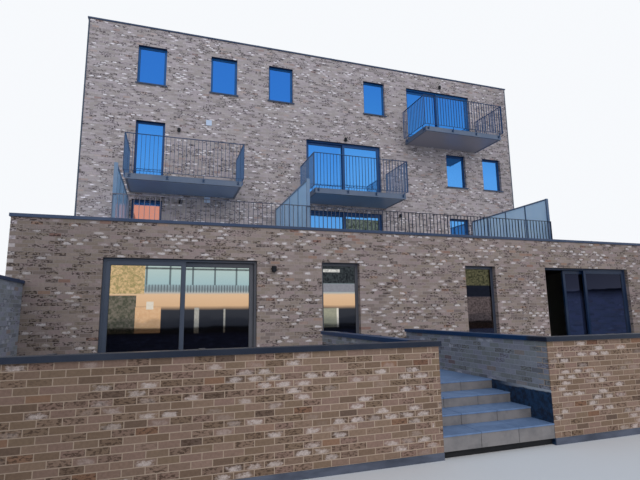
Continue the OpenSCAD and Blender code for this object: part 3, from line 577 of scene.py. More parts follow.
def strap_joints(name, node, length, material):
    """Sleeves over the joints of copings, counted from each coping's end at the stair or at the front."""
    blocks = []
    for low, high in solids(node):
        run = 0 if high[0] - low[0] > high[1] - low[1] else 1
        side = 1 - run
        near, far, foot, top = low[side], high[side], low[2], high[2]
        sheets = [(near - strap_t, far + strap_t, top, top + strap_t),
                  (near - strap_t, near, foot, top), (far, far + strap_t, foot, top)]
        for k in range(1, int((high[run] - low[run]) / length) + 1):
            middle = high[run] - k * length if run == 0 and high[0] < 0 else low[run] + k * length
            for side_from, side_to, z_from, z_to in sheets:
                block = np.zeros((2, 3))
                block[:, run] = middle - strap_w / 2, middle + strap_w / 2
                block[:, side] = side_from, side_to
                block[:, 2] = z_from, z_to
                blocks.append(block)
    chamfered(name, blocks, strap_t / 3, material)


# Painted sky reflection: the copings that run back from the street are painted a brighter blue.
painted_sky_y = street_face + painted_sky_from
coping_coat = coat("coping_coat", paint(18, 28, 46), dust=0.05, shine=0.3,
                   beyond=[("Y", painted_sky_y, painted_sky_y + painted_sky_w, paint(4, 50, 90))])
dress(coping_coat, "garden_copings")
strap_joints("coping_straps", "garden_copings", coping_length, coping_coat)

# STAIR
# A concrete flight of four steps and a landing, faced with honed stone tiles bedded in mortar. A rolled
# coating of bitumen keeps the damp out of the wall beside it.
tile_size, tile_joint, tile_edge, last_cut, whole_tiles = 0.6, 0.006, 0.003, 0.03, 3
tone_h, tread_tone_w, riser_tone_w = 0.14, 0.59, 0.3
coating_top, smear_w, smear_from, smear_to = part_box("stair_membrane")[1][2], 0.12, 9.7, 10.5


def cut_into(low, high, axis, size, joint, start=0.0):
    """A block cut into lengths of a size along one axis, with joints between them."""
    cuts = [low[axis], *np.arange(low[axis] + start + size, high[axis] - last_cut, size), high[axis]]
    parts = []
    for a, b in zip(cuts, cuts[1:]):
        part_low, part_high = np.array(low, float), np.array(high, float)
        part_low[axis] = a + (joint / 2 if a > low[axis] else 0.0)
        part_high[axis] = b - (joint / 2 if b < high[axis] else 0.0)
        parts.append((part_low, part_high))
    return parts


def tiled(low, high, size, joint, start=0.0):
    """A slab cut into rows from front to back, and each row into tiles."""
    rows = cut_into(low, high, 1, size, joint)
    return [tile for row in rows for tile in cut_into(*row, 0, size, joint, start)]


def stone(name, colour, vein, size):
    """Honed stone, each tile of its own shade, with fine speckles."""
    def look(spot):
        tile = spot.add("ShaderNodeTexWhiteNoise", {}, {0: spot.add(
            "ShaderNodeVectorMath", {"operation": "SNAP"}, {0: spot, 1: (size, size, tone_h)})})
        speckle = noise(spot, 170.0, 3.0, 0.8)
        cloud = noise(spot, 5.0, 4.0, 0.6)
        shade = shaded(stained(smooth(cloud, 0.35, 0.75), colour, vein), tile * 0.14 + speckle * 0.22 + 0.82)
        return surface(shade, cloud * 0.2 + 0.42, speckle, 0.0004)
    return finish(name, {}, look)


# The treads' stone is a bluer copy of the risers' stone: painted sky light on the tops.
stair_stone = stone("stair_stone", paint(106, 131, 168), paint(92, 116, 152), tread_tone_w)
treads = solids("stair_treads")
low, high = treads[0]
first_tile = high[0] - low[0] - whole_tiles * tile_size
tread_blocks = [tile for low, high in treads for tile in tiled(low, high, tile_size, tile_joint, first_tile)]
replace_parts(chamfered("tread_tiles", tread_blocks, tile_edge, stair_stone), "stair_treads")
riser_blocks = [tile for low, high in solids("stair_risers")
                for tile in cut_into(low, high, 0, tile_size, tile_joint, first_tile)]
riser_stone = stone("riser_stone", paint(128, 124, 124), paint(108, 106, 108), riser_tone_w)
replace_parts(chamfered("riser_tiles", riser_blocks, tile_edge / 2, riser_stone), "stair_risers")


def bitumen_look(spot):
    """Bitumen coating, glossy where it was rolled thick, with a chalky smear of sealant at its top edge."""
    edge = smooth(along(spot, "Z"), coating_top - smear_w, coating_top)
    streak = noise(scaled(spot, 1.0, 3.0, 14.0), 1.0, 4.0, 0.7)
    smear = smooth(edge * 0.8 + streak, 0.95, 1.15) * smooth(along(spot, "Y") * -1.0, smear_from, smear_to)
    cloud = noise(spot, 9.0, 3.0)
    tone = stained(smooth(noise(spot, 14.0, 4.0, 0.7), 0.4, 0.62), paint(3, 23, 46), paint(22, 54, 86))
    tone = stained(smear * 0.8, tone, paint(186, 190, 196))
    return surface(tone, cloud * 0.3 + 0.3, cloud + noise(spot, 60.0, 2.0) * 0.4, 0.008)


dress(finish("bitumen_coating", {}, bitumen_look), "stair_membrane")

# GROUND FLOOR
# Brick piers on a foot wall carry a brick head with the terrace's parapet, and party walls close the sides.
# Steel angles carry the bricks over every opening, and the bricks at each jamb reach in to the frame. The
# angles' coat is painted shade under the heads: near black on the ground floor, navy above it.
frame_boxes = [box for node in ("window_frames", "upper_door_frames", "patio_frames", "back_window_frames")
               for box in solids(node)]
podium_low, podium_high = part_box("podium_side_walls")
block_low, block_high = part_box("gable_walls")
podium_y, front_y, back_y = podium_low[1], block_low[1], block_high[1]
left_x, right_x, parapet_z, eaves_z = block_low[0], block_high[0], podium_high[2], block_high[2]
wall_t, ground_ceiling, terrace_z = 0.35, 3.4, round(float(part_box("terrace_paving")[0][2]), 3)
inner_left, inner_right = left_x + wall_t, right_x - wall_t
frame_clearance, deepest_reveal, facade_course = 0.004, 0.3, 0.077
angle_t, angle_set_in, angle_edge = 0.005, 0.003, 0.001


def openings_in(plane):
    """Openings of a wall face, from the frames that stand behind it: left, right, sill, head and reveal."""
    found = []
    for low, high in frame_boxes:
        reveal = min(abs(low[1] - plane), abs(high[1] - plane))
        if reveal < deepest_reveal:
            found.append((low[0], high[0], low[2], high[2], reveal - frame_clearance))
    return found


def angles_over(plane, outward):
    """The flanges of the steel angles that show under the bricks over the openings of a wall face."""
    flanges = []
    for left, right, _, head, reveal in openings_in(plane):
        near, far = sorted((plane - outward * angle_set_in, plane - outward * (reveal - angle_set_in)))
        flanges.append(((left + angle_set_in, near, head - angle_t), (right - angle_set_in, far, head)))
    return flanges


def rooms_behind(front, ceiling):
    """The box of the rooms behind a front wall, from halfway through the walls up to a ceiling."""
    half = wall_t / 2
    return (left_x + half, front + half, 0.0), (right_x - half, back_y - half, ceiling)


facade_levels = sorted({round(float(v), 3) for low, high in frame_boxes for v in (low[2], high[2])}
                       | {0.0, round(float(parapet_z), 3), round(float(eaves_z), 3)})
facade_lines = course_lines(facade_levels, facade_course)
# Painted shade: the podium's brick darkens towards both ends, the upper walls' brick towards the right end.
podium_painted_shade, upper_painted_shade, upper_patchy = [(0.72, -8.6, -4.4), (0.88, 9.0, 5.6)], [(0.84, 8.8, 6.6)], 0.9
podium_brick = brick(
    "podium_brick", paint(149, 135, 131), paint(218, 211, 212), paint(50, 40, 40), bloom_from=0.69,
    crease_from=0.45, spread=0.85, reds=0.8, shaded_ends=podium_painted_shade, fineness=0.7, reach=0.68, strength=0.08,
    flatness=2.4)
upper_brick = brick(
    "upper_brick", paint(171, 162, 165), paint(244, 240, 246), paint(46, 38, 46), bloom_from=0.74,
    crease_from=0.54, spread=0.85, reds=0.5, shaded_ends=upper_painted_shade, fineness=0.6, reach=0.7, strength=0.1,
    flatness=3.6)
dress(mortar("podium_mortar", paint(160, 149, 146), rooms_behind(podium_y, ground_ceiling), podium_painted_shade),
      "podium_foot", "podium_piers", "podium_head", "podium_side_walls")

rows = lay_face("-y", podium_y, left_x, right_x, 0.0, parapet_z, facade_lines, (True, True),
                openings_in(podium_y))
rows += lay_face("+y", podium_y + wall_t, inner_left, inner_right, terrace_z, parapet_z, facade_lines)
lay_bricks("podium_front_bricks", rows, podium_brick)
rows = []
party_walls = (("-x", left_x, "+x", inner_left), ("+x", right_x, "-x", inner_right))
for outer, plane, inner, inner_plane in party_walls:
    rows += lay_face(outer, plane, podium_y, front_y, 0.0, parapet_z, facade_lines, (True, False))
    rows += lay_face(inner, inner_plane, podium_y + wall_t, front_y, terrace_z, parapet_z, facade_lines)
lay_bricks("podium_side_bricks", rows, upper_brick, upper_patchy)

# Painted shade: near black on the ground floor's angles, navy on the upper ones.
angle_painted_shade = coat("angle_painted_shade", paint(12, 12, 20), dust=0.06, shine=0.3,
                   beyond=[("Z", 3.2, 3.4, paint(26, 44, 74))])
angle_blocks = angles_over(podium_y, -1) + angles_over(front_y, -1) + angles_over(back_y, 1)
chamfered("opening_angles", angle_blocks, angle_edge, angle_painted_shade)

# TERRACE PAVING
# Pale concrete flags over the ground floor's roof. They lie on pads with open joints, so that rain runs
# between them to the roof below.
flag_size, flag_joint, flag_edge = 0.598, 0.005, 0.003
flags = tiled(*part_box("terrace_paving"), flag_size, flag_joint)
paving = stone("terrace_flags", paint(196, 192, 184), paint(176, 173, 167), flag_size)
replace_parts(chamfered("terrace_flag_field", flags, flag_edge, paving), "terrace_paving")

# UPPER STOREYS
# The same brick in front walls, party walls and back walls, storey by storey up to the roof's parapet. Its
# courses run through at one height all the way round the block.
top_ceiling = 11.9
dress(mortar("facade_mortar", paint(168, 162, 165), rooms_behind(front_y, top_ceiling), upper_painted_shade),
      "front_wall_first", "front_wall_second", "front_wall_third", "gable_walls",
      "back_wall_ground", "back_wall_first", "back_wall_second", "back_wall_third")
front_openings = openings_in(front_y)
rows = lay_face("-y", front_y, inner_left, inner_right, terrace_z, parapet_z, facade_lines,
                openings=front_openings, origin=left_x)
rows += lay_face("-y", front_y, left_x, right_x, parapet_z, eaves_z, facade_lines, (True, True),
                 front_openings)
lay_bricks("upper_front_bricks", rows, upper_brick, upper_patchy)
for name, outer, plane in (("left", "-x", left_x), ("right", "+x", right_x)):
    rows = lay_face(outer, plane, front_y, back_y, 0.0, parapet_z, facade_lines, (False, True))
    rows += lay_face(outer, plane, front_y, back_y, parapet_z, eaves_z, facade_lines, (True, True))
    lay_bricks(name + "_gable_bricks", rows, upper_brick, upper_patchy)
rows = lay_face("+y", back_y, left_x, right_x, 0.0, eaves_z, facade_lines, (True, True), openings_in(back_y))
lay_bricks("back_wall_bricks", rows, upper_brick, upper_patchy)

# ROOF
# Felt with lapped seams on a concrete slab, behind a parapet with a pressed metal coping. Narrow dark trims
# run up both ends of the front.
felt_w, felt_lap, roof_coping_length = 1.0, 0.012, 2.96


def felt_look(spot):
    """Mineral felt in strips, darker where the bitumen came out at a seam."""
    across = along(spot, "X") % felt_w
    lap = smooth(across, 0.0, felt_lap) * (1.0 - smooth(across, felt_w - felt_lap, felt_w))
    grit = noise(spot, 300.0, 2.0, 0.9)
    cloud = noise(spot, 0.8, 4.0, 0.6)
    shade = shaded(stained(smooth(cloud, 0.3, 0.7), paint(88, 90, 92), paint(70, 72, 75)), grit * 0.3 + 0.8)
    shade = stained((1.0 - lap) * 0.6, shade, paint(38, 39, 41))
    return surface(shade, grit * 0.1 + 0.85, grit * 0.3 + lap, 0.003)


dress(finish("roof_felt", {}, felt_look), "roof_slab")
roof_coping_coat = coat("roof_coping_coat", paint(42, 60, 90), dust=0.1, shine=0.35)
dress(roof_coping_coat, "roof_copings")
strap_joints("roof_coping_straps", "roof_copings", roof_coping_length, roof_coping_coat)
dress(coat("trim_coat", paint(44, 60, 80), dust=0.15), "edge_trims")

# WINDOWS
# Anthracite aluminium frames set back in the wall, with sealed glass units and thin metal sills. Rubber
# seals hold each unit in its frame on both faces.
# The glass's colours are painted reflections: the sky and the houses opposite, by height and across the
# front.
reflection_reach = 12.0
bright_painted_reflection = [(1.0, (58, 66, 94)), (1.4, (50, 56, 82)), (1.43, (42, 44, 52)), (1.95, (52, 54, 60)),
                (1.99, (218, 178, 138)), (2.25, (226, 188, 150)), (2.26, (240, 230, 214)),
                (2.29, (240, 230, 214)), (2.3, (134, 146, 148)), (2.43, (142, 156, 160)),
                (2.47, (164, 190, 192)), (2.9, (188, 204, 196)), (4.0, (100, 170, 234)),
                (7.6, (70, 148, 230)), (9.6, (50, 121, 208)), (11.3, (48, 116, 204))]
dim_painted_reflection = [(1.2, (100, 116, 160)), (2.15, (96, 108, 148)), (2.4, (34, 38, 56)), (3.0, (24, 28, 46)),
             (3.4, (52, 90, 130)), (5.0, (96, 168, 234)), (7.6, (84, 160, 236)), (9.6, (58, 134, 214)),
             (11.3, (50, 122, 208))]
back_painted_reflection = [(1.0, (44, 62, 86)), (3.0, (62, 92, 128)), (6.0, (84, 132, 178)), (12.0, (72, 128, 184))]
painted_reflections = [((-7.1, -6.0), (3.4, 5.52), ((222, 142, 114), (206, 146, 134))),
            ((0.62, 2.1), (3.4, 5.45), ((34, 44, 30), (110, 122, 116))),
            ((-0.1, 0.5), (3.4, 4.9), ((34, 44, 30), (110, 122, 116))),
            ((-7.1, -6.41), (1.45, 2.25), ((118, 110, 98), (74, 76, 62))),
            ((-6.42, -5.92), (1.45, 2.01), ((222, 182, 142), (214, 170, 128))),
            ((-6.21, -6.07), (1.93, 2.12), ((226, 216, 198), (220, 208, 190))),
            ((-5.24, -5.14), (1.42, 1.99), ((176, 172, 162), (160, 156, 146))),
            ((-4.62, -4.58), (1.42, 1.96), ((176, 172, 162), (160, 156, 146))),
            ((-6.3, -3.9), (2.77, 2.84), ((70, 76, 76), (104, 112, 110))),
            ((-2.4, -1.4), (2.3, 2.53), ((142, 142, 148), (132, 132, 138))),
            ((-2.4, -1.4), (2.5, 2.95), ((26, 29, 34), (62, 68, 70))),
            ((-2.4, -1.89), (2.77, 2.87), ((230, 226, 218), (176, 174, 168))),
            ((-2.4, -1.98), (1.48, 1.95), ((160, 158, 136), (150, 148, 130))),
            ((-1.99, -1.94), (1.48, 1.95), ((228, 220, 204), (214, 206, 190))),
            ((-7.1, -6.26), (2.25, 2.95), ((216, 182, 136), (156, 142, 96))),
            ((1.5, 2.6), (1.35, 2.22), ((60, 52, 52), (98, 86, 86))),
            ((1.5, 2.6), (2.18, 2.52), ((14, 18, 30), (22, 26, 38))),
            ((1.5, 2.6), (2.48, 2.95), ((40, 42, 28), (98, 94, 70)))]
# Painted reflection of the terrace railing in the glass: where it lies, its bars and its posts.
painted_reflection_edge, rails_from, rails_to = 0.03, -6.26, -3.0
rail_pitch, rail_bar, rail_foot, rail_head = 0.06, 0.018, 2.3, 2.46
post_pitch, post_bar, post_shift, post_head = 0.47, 0.04, 0.14, 2.93
gasket_w, gasket_proud = 0.007, 0.005
low_tone_to, high_tone_from, dim_from, dim_to = 2.9, 3.4, 0.4, 0.6


def frame_look(spot):
    """Anthracite coat with painted sky reflection, bluer on the upper storeys and most of all on the top one,
    and with painted light and shade across the ground floor.
    """
    painted_light_across = [("X", -5.8, -4.2, paint(82, 84, 92)), ("X", 0.5, 4.5, paint(16, 38, 68))]
    low = coated_look(paint(60, 70, 88), dust=0.08, beyond=painted_light_across)(spot)
    high = coated_look(paint(10, 66, 122), dust=0.08, beyond=[("Z", 8.5, 9.0, paint(4, 88, 154))])(spot)
    # Painted sky reflection: the frames of the upper storeys take the bluer tone.
    rise = smooth(along(spot, "Z"), low_tone_to, high_tone_from)
    high["Base Color"] = stained(rise, low["Base Color"], high["Base Color"])
    return high


def glazing_look(reflection_tones):
    """Coated glass whose colour is a painted reflection, which changes with the height."""
    def look(spot):
        wave = noise(spot, 1.1, 2.0)
        rise = (along(spot, "Z") + (wave - 0.5) * 0.05) * (1.0 / reflection_reach)
        stops = [(z / reflection_reach, paint(*colour)) for z, colour in reflection_tones]
        tint = rise.add("ShaderNodeValToRGB", {"stops": stops}, {"Fac": rise}, "Color")
        return surface(tint, wave * 0.05 + 0.03, wave, 0.004)
    return look


def pane_look(spot):
    """Mirror glass with a painted reflection, brighter over the left half of the block than over the right.
    Painted patches, posts and a railing make up the rest of it."""
    left, right = (glazing_look(reflection_tones)(spot) for reflection_tones in (bright_painted_reflection, dim_painted_reflection))
    x, z = along(spot, "X"), along(spot, "Z")
    colour = stained(smooth(x, dim_from, dim_to), left["Base Color"], right["Base Color"])
    mottle = smooth(noise(spot, 19.0, 5.0, 0.8), 0.4, 0.6)
    for (left_end, right_end), (foot, head), tones in painted_reflections:
        mask = (x > left_end) * (x < right_end) * smooth(z, foot, foot + painted_reflection_edge)
        mask = mask * (1.0 - smooth(z, head - painted_reflection_edge, head))
        colour = stained(mask, colour, stained(mottle, *(paint(*tone) for tone in tones)))
    # Painted reflection of the railing's bars and posts.
    rails = (x % rail_pitch < rail_bar) * (z > rail_foot) * (z < rail_head)
    posts = ((x + post_shift) % post_pitch < post_bar) * (z > rail_head) * (z < post_head)
    colour = stained((rails + posts) * (x > rails_from) * (x < rails_to) * 0.7, colour, paint(44, 50, 58))
    left["Base Color"] = colour
    return left


def rubber_look(spot):
    """Black rubber with a dull grain."""
    grain = noise(spot, 260.0, 2.0)
    return surface(stained(grain, paint(14, 16, 20), paint(26, 28, 34)), grain * 0.2 + 0.6, grain, 0.0003)


def gaskets(name, body, *nodes):
    """Rubber seals round both faces of sealed units, one bar along each edge."""
    bars = []
    for low, high in (pane for node in nodes for pane in solids(node)):
        left, right, foot, head = low[0], high[0], low[2], high[2]
        for face, out in ((low[1], -1), (high[1], 1)):
            near, far = sorted((face, face + out * gasket_proud))
            for x0, x1, z0, z1 in ((left, right, foot, foot + gasket_w), (left, right, head - gasket_w, head),
                                   (left, left + gasket_w, foot + gasket_w, head - gasket_w),
                                   (right - gasket_w, right, foot + gasket_w, head - gasket_w)):
                bars.append(((x0, near, z0), (x1, far, z1)))
    chamfered(name, bars, gasket_proud / 4, gasket_rubber, body)


frame_coat = finish("frame_coat", {"Specular IOR Level": 0.35}, frame_look)
dress(frame_coat, "window_frames", "back_window_frames")
dress(coat("sill_coat", paint(26, 48, 80), dust=0.1), "window_sills")
window_pane = finish("window_pane", {"Metallic": 0.92}, pane_look)
dress(window_pane, "window_glass")
dress(finish("back_pane", {"Metallic": 0.92}, glazing_look(back_painted_reflection)), "back_window_glass")
gasket_rubber = finish("gasket_rubber", {}, rubber_look)
gaskets("window_gaskets", "block", "window_glass", "back_window_glass")

# UPPER DOORS
# Wide sliding doors and narrow single doors onto the terrace and the balconies, with the same aluminium
# frames, glass and seals as the windows.
dress(frame_coat, "upper_door_frames")
dress(window_pane, "upper_door_glass")
gaskets("upper_door_gaskets", "block", "upper_door_glass")

# GARDEN DOORS
# Two sliding doors on the ground floor, each with a fixed pane and a leaf that runs on the inner track. The
# seals of a leaf's glass ride with the leaf.
dress(frame_coat, "patio_frames", "left_leaf_frame", "right_leaf_frame")
dress(window_pane, "patio_fixed_glass", "left_leaf_glass", "right_leaf_glass")
gaskets("garden_door_gaskets", "block", "patio_fixed_glass")
for side_name in ("left", "right"):
    gaskets(side_name + "_leaf_gaskets", side_name + "_door_leaf", side_name + "_leaf_glass")

# BALCONIES
# Galvanised steel channels painted blue grey carry decks whose undersides are closed with dark panels. The
# railings stand on foot plates bolted to the channels, and composite boards lie on the decks.
plate_w, plate_h, plate_t, plate_edge, plate_bolt, plate_bolt_r = 0.09, 0.085, 0.007, 0.0015, 0.03, 0.009
bracket_end, front_brackets, bracket_foot = 0.18, 4, 0.06
board_w, board_gap, board_t, board_end, board_edge = 0.145, 0.006, 0.01, 0.006, 0.002
dress(coat("steel_paint", paint(82, 98, 123), dust=0.2), "balcony_channels")
# The soffit panels' tone steps are painted light: paler at the left, darker in the middle, warm grey at the
# right.
dress(coat("soffit_panels", paint(126, 152, 190), dust=0.2, beyond=[
    ("X", -2.6, -2.2, paint(102, 134, 172)), ("X", 2.6, 3.0, paint(148, 144, 156))]), "balcony_decks")
rail_coat = coat("rail_coat", paint(34, 66, 106), dust=0.1, shine=0.35)
dress(rail_coat, "balcony_rail_fronts")
# The side railings are painted lighter than the fronts, and darker at the right: painted light and shade.
dress(coat("side_rail_coat", paint(72, 106, 148), dust=0.15, shine=0.35, beyond=[
    ("X", 2.8, 3.2, paint(30, 70, 118))]), "balcony_rail_sides")


def bolt_tree():
    """Puts a six-sided bolt head on a washer at each point, standing out the way that the point faces."""
    tree, start, given = node_group("bolts_and_washers", {
        "Places": "Geometry", "Head Radius": "Float", "Head Height": "Float", "Washer Radius": "Float",
        "Washer Height": "Float", "Finish": "Material"}, "Bolts")

    def disc(sides, radius, height, base):
        made = start.add("GeometryNodeMeshCylinder", {},
                         {"Vertices": sides, "Radius": radius, "Depth": height})
        return start.add("GeometryNodeTransform", {},
                         {"Geometry": made, "Translation": xyz(start, Z=base + height * 0.5)})

    washer = disc(16, given("Washer Radius"), given("Washer Height"), 0.0)
    head = disc(6, given("Head Radius"), given("Head Height"), given("Washer Height"))
    bolt = start.add("GeometryNodeJoinGeometry", {}, {0: washer, "Geometry": head})
    turned = start.add("FunctionNodeAlignRotationToVector", {"axis": "Z"},
                       {"Vector": marked(start, "FLOAT_VECTOR", "facing")})
    spin = xyz(start, Z=chance(start, 0.0, math.pi / 3, 11))
    spin = start.add("FunctionNodeEulerToRotation", {}, {0: spin})
    turned = start.add("FunctionNodeRotateRotation", {"rotation_space": "LOCAL"}, {0: turned, 1: spin})
    close_group(start, given("Finish"), "Bolts", Points=given("Places"), Instance=bolt, Rotation=turned)
    return tree


bolting = bolt_tree()
zinc = finish("zinc_bolts", {"Metallic": 0.8}, coated_look(paint(120, 126, 134), dust=0.3))


def fix_bolts(name, places, head_radius):
    """Bolts at places, each a point and the direction that the head faces."""
    points, facing = (np.array(values, float) for values in zip(*places))
    grown(name, points, {"facing": facing}, bolting, {
        "Head Radius": head_radius, "Head Height": head_radius * 0.8, "Washer Radius": head_radius * 1.5,
        "Washer Height": head_radius * 0.25, "Finish": zinc})


bracket_plates, bracket_bolts = [], []


def fix_foot(middle, facing):
    """A railing's foot plate against a channel, with a bolt on either side of the bar."""
    middle, facing = np.array(middle), np.array(facing, float)
    sideways = np.abs(facing[[1, 0, 2]])
    outer = middle + facing * plate_t
    half = sideways * plate_w / 2 + (0.0, 0.0, plate_h / 2)
    bracket_plates.append((np.minimum(middle, outer) - half, np.maximum(middle, outer) + half))
    bracket_bolts.extend((outer + sideways * step, facing) for step in (-plate_bolt, plate_bolt))


channel_fronts = in_order("balcony_channels")
for low, high in solids("balcony_rail_fronts"):
    face = min(channel_fronts, key=lambda s: abs(s[0][0] - low[0]) + abs(s[0][2] - low[2]))[0][1]
    for x in np.linspace(low[0] + bracket_end, high[0] - bracket_end, front_brackets):
        fix_foot((x, face, low[2] + bracket_foot / 2), (0, -1, 0))
for low, high in solids("balcony_rail_sides"):
    channel = min(channel_fronts, key=lambda s: abs((s[0][0] + s[1][0]) / 2 - low[0]) + abs(s[0][2] - low[2]))
    face, out = (channel[0][0], -1) if low[0] < channel[0][0] else (channel[1][0], 1)
    for y in (low[1] + bracket_end, high[1] - bracket_end):
        fix_foot((face, y, low[2] + bracket_foot / 2), (out, 0, 0))
chamfered("railing_foot_plates", bracket_plates, plate_edge, rail_coat)
fix_bolts("railing_foot_bolts", bracket_bolts, plate_bolt_r)

boards = []
for low, high in in_order("balcony_decks"):
    board_from = (low[0] + board_end, low[1] + board_end, high[2])
    board_to = (high[0] - board_end, high[1] - board_end, high[2] + board_t)
    boards += cut_into(board_from, board_to, 1, board_w, board_gap)


def board_look(spot):
    """Grey composite boards with a brushed grain along their length."""
    grain = noise(scaled(spot, 3.0, 90.0, 90.0), 1.0, 4.0, 0.7)
    cloud = noise(spot, 2.0, 3.0)
    shade = shaded(stained(cloud, paint(104, 102, 98), paint(88, 88, 88)), grain * 0.4 + 0.8)
    return surface(shade, grain * 0.2 + 0.65, grain, 0.001)


chamfered("balcony_boards", boards, board_edge, finish("deck_boards", {}, board_look))

# TERRACE RAILING AND SCREENS
# A steel railing on foot plates along the terrace's front, and screens of frosted safety glass in aluminium
# posts between the parts of the terrace.
foot_l, foot_w, foot_t, foot_bolt, foot_bolt_r = 0.11, 0.07, 0.008, 0.038, 0.008
bar_w, terrace_bays, open_from, open_to = 0.012, 10, 3.0, 4.0
# The terrace rail is painted pale at its left end, darker in the middle and near black at the right: painted
# light and shade.
dress(coat("terrace_rail_coat", paint(112, 110, 124), dust=0.1, shine=0.35, beyond=[
    ("X", -6.2, -5.0, paint(64, 70, 90)), ("X", -1.0, 1.0, paint(4, 26, 54))]), "terrace_rail")
# The screen posts are painted darker towards the open right end: painted shade against the light.
dress(coat("screen_post_coat", paint(100, 130, 164), dust=0.3, beyond=[
    ("X", open_from, open_to, paint(54, 84, 120))]), "screen_frames")
foot_plates, foot_bolts = [], []
low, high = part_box("terrace_rail")
deck_z, middle_y = low[2], (low[1] + high[1]) / 2
plate_top = deck_z + foot_t
for x in np.linspace(low[0] + bar_w / 2, high[0] - bar_w / 2, terrace_bays + 1):
    foot_plates.append(((x - foot_l / 2, middle_y - foot_w / 2, deck_z),
                        (x + foot_l / 2, middle_y + foot_w / 2, plate_top)))
    foot_bolts += [((x + step, middle_y, plate_top), (0, 0, 1)) for step in (-foot_bolt, foot_bolt)]
screen_panes = in_order("screen_glass")
for low, high in solids("screen_frames"):
    panes = [pane for pane in screen_panes if low[0] < pane[0][0] < high[0]]
    posts = [low[1]] + [pane[1][1] for pane in panes]
    ends = [pane[0][1] for pane in panes] + [high[1]]
    for post, end in zip(posts, ends):
        foot_plates.append(((low[0] - foot_bolt, post, deck_z), (high[0] + foot_bolt, end, plate_top)))
        foot_bolts += [((x, (post + end) / 2, plate_top), (0, 0, 1))
                       for x in (low[0] - foot_bolt / 2, high[0] + foot_bolt / 2)]
chamfered("terrace_foot_plates", foot_plates, plate_edge, rail_coat)
fix_bolts("terrace_foot_bolts", foot_bolts, foot_bolt_r)


def frosted_look(spot):
    """Acid-etched glass, a little cloudy, painted paler towards the open right end as painted light
    shining through.
    """
    haze = noise(spot, 3.0, 3.0) * 0.5 + smooth(along(spot, "X"), open_from, open_to) * 0.5
    shade = stained(haze, paint(156, 208, 250), paint(206, 232, 255))
    return surface(shade, haze * 0.2 + 0.35, noise(spot, 500.0, 1.0), 0.0002)


dress(finish("frosted_pane", {"Coat Weight": 0.3}, frosted_look), "screen_glass")

# LAMPS AND VENTS
# Black cylinder lamps on round plates and white vent covers, screwed to the brickwork. A spun sleeve, open
# at both ends, fits tightly round each lamp's body and throws its light up and down the wall.
sleeve_t, sleeve_lip, sleeve_edge, sleeve_sides = 0.015, 0.007, 0.002, 32
lamp_plate_t, plate_screw, vent_screw, screw_head = 0.008, 0.025, 0.012, 0.0035


def sleeve(low, high):
    """The points and faces of a sleeve, spun about the upright axis of the lamp that a box holds."""
    inner = (high[0] - low[0]) / 2
    outer, end = inner + sleeve_t, (high[2] - low[2]) / 2 + sleeve_lip
    profile = [(outer, sleeve_edge - end), (outer, end - sleeve_edge), (outer - sleeve_edge, end),
               (inner + sleeve_edge, end), (inner, end - sleeve_edge), (inner, sleeve_edge - end),
               (inner + sleeve_edge, -end), (outer - sleeve_edge, -end)]
    x, y, z = low[0] + inner, low[1] + inner, (low[2] + high[2]) / 2
    points = [(x + radius * math.cos(turn), y + radius * math.sin(turn), z + height)
              for turn in np.linspace(0.0, 2 * math.pi, sleeve_sides, endpoint=False)
              for radius, height in profile]
    ring = len(profile)
    faces = []
    for side in range(sleeve_sides):
        here, there = side * ring, (side + 1) % sleeve_sides * ring
        faces += [[here + k, there + k, there + (k + 1) % ring, here + (k + 1) % ring] for k in range(ring)]
    return points, faces


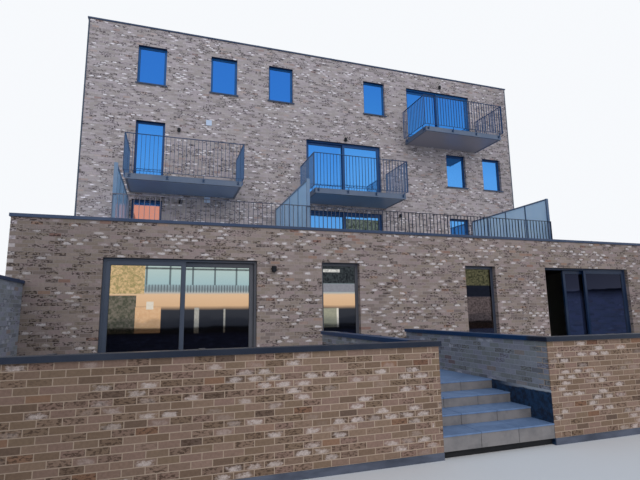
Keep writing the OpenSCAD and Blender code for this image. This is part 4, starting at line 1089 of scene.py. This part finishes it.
lamp_enamel = coat("lamp_enamel", paint(8, 12, 22), dust=0.04, shine=0.25)
dress(lamp_enamel, "wall_lamps")
joined("lamp_sleeves", [sleeve(low, high) for low, high in solids("wall_lamps")], lamp_enamel)
dress(coat("vent_plastic", paint(196, 212, 236), dust=0.2, dust_colour=paint(170, 186, 206)), "vent_covers")
screws = [(((low[0] + high[0]) / 2 + step, high[1] - lamp_plate_t, (low[2] + high[2]) / 2), (0, -1, 0))
          for low, high in solids("wall_lamps") for step in (-plate_screw, plate_screw)]
fix_bolts("lamp_plate_screws", screws, screw_head)
screws = [((x, low[1], z), (0, -1, 0)) for low, high in solids("vent_covers")
          for x in (low[0] + vent_screw, high[0] - vent_screw)
          for z in (low[2] + vent_screw, high[2] - vent_screw)]
fix_bolts("vent_screws", screws, screw_head)

# STUDIO
# A plain pale floor under a soft white sky, with a broad lamp from the front and above. The sky shows
# pale to the camera and lights the block with the blue of open shade.
floor_side, floor_colour = 400, (0.72, 0.72, 0.73, 1.0)
sky_light, sky_strength, backdrop = (0.66, 0.81, 1.0), 0.58, (0.93, 0.95, 0.98)
lamp_strength, lamp_colour, lamp_spread, lamp_aim = 1.7, (1.0, 0.92, 0.84), 75, (0.1, 0.88, -0.42)
bpy.ops.mesh.primitive_plane_add(size=floor_side, location=(0, 0, 0))
floor = bpy.context.object
floor.data.materials.append(finish("studio_floor", {"Base Color": floor_colour, "Roughness": 0.9},
                                   lambda spot: {}))
world = bpy.data.worlds.new("studio")
bpy.context.scene.world = world
world.use_nodes = True
sky = Wire(world.node_tree)
seen = sum(sky.add("ShaderNodeLightPath", {}, {}, ray)
           for ray in ("Is Camera Ray", "Is Glossy Ray", "Is Transmission Ray"))
seen = seen.add("ShaderNodeMath", {"operation": "MINIMUM"}, {0: seen, 1: 1.0})
background = world.node_tree.nodes["Background"]
world.node_tree.links.new(stained(seen, sky_light, backdrop).socket, background.inputs["Color"])
strength = seen * (1.0 - sky_strength) + sky_strength
world.node_tree.links.new(strength.socket, background.inputs["Strength"])
lamp_data = bpy.data.lights.new("street_light", "SUN")
lamp_data.energy = lamp_strength
lamp_data.color = lamp_colour
lamp_data.angle = math.radians(lamp_spread)
lamp = bpy.data.objects.new("street_light", lamp_data)
lamp.rotation_euler = Vector(lamp_aim).to_track_quat("-Z", "Y").to_euler()
lamp.visible_glossy = False
bpy.context.scene.collection.objects.link(lamp)
bpy.context.scene.view_settings.view_transform = "Standard"
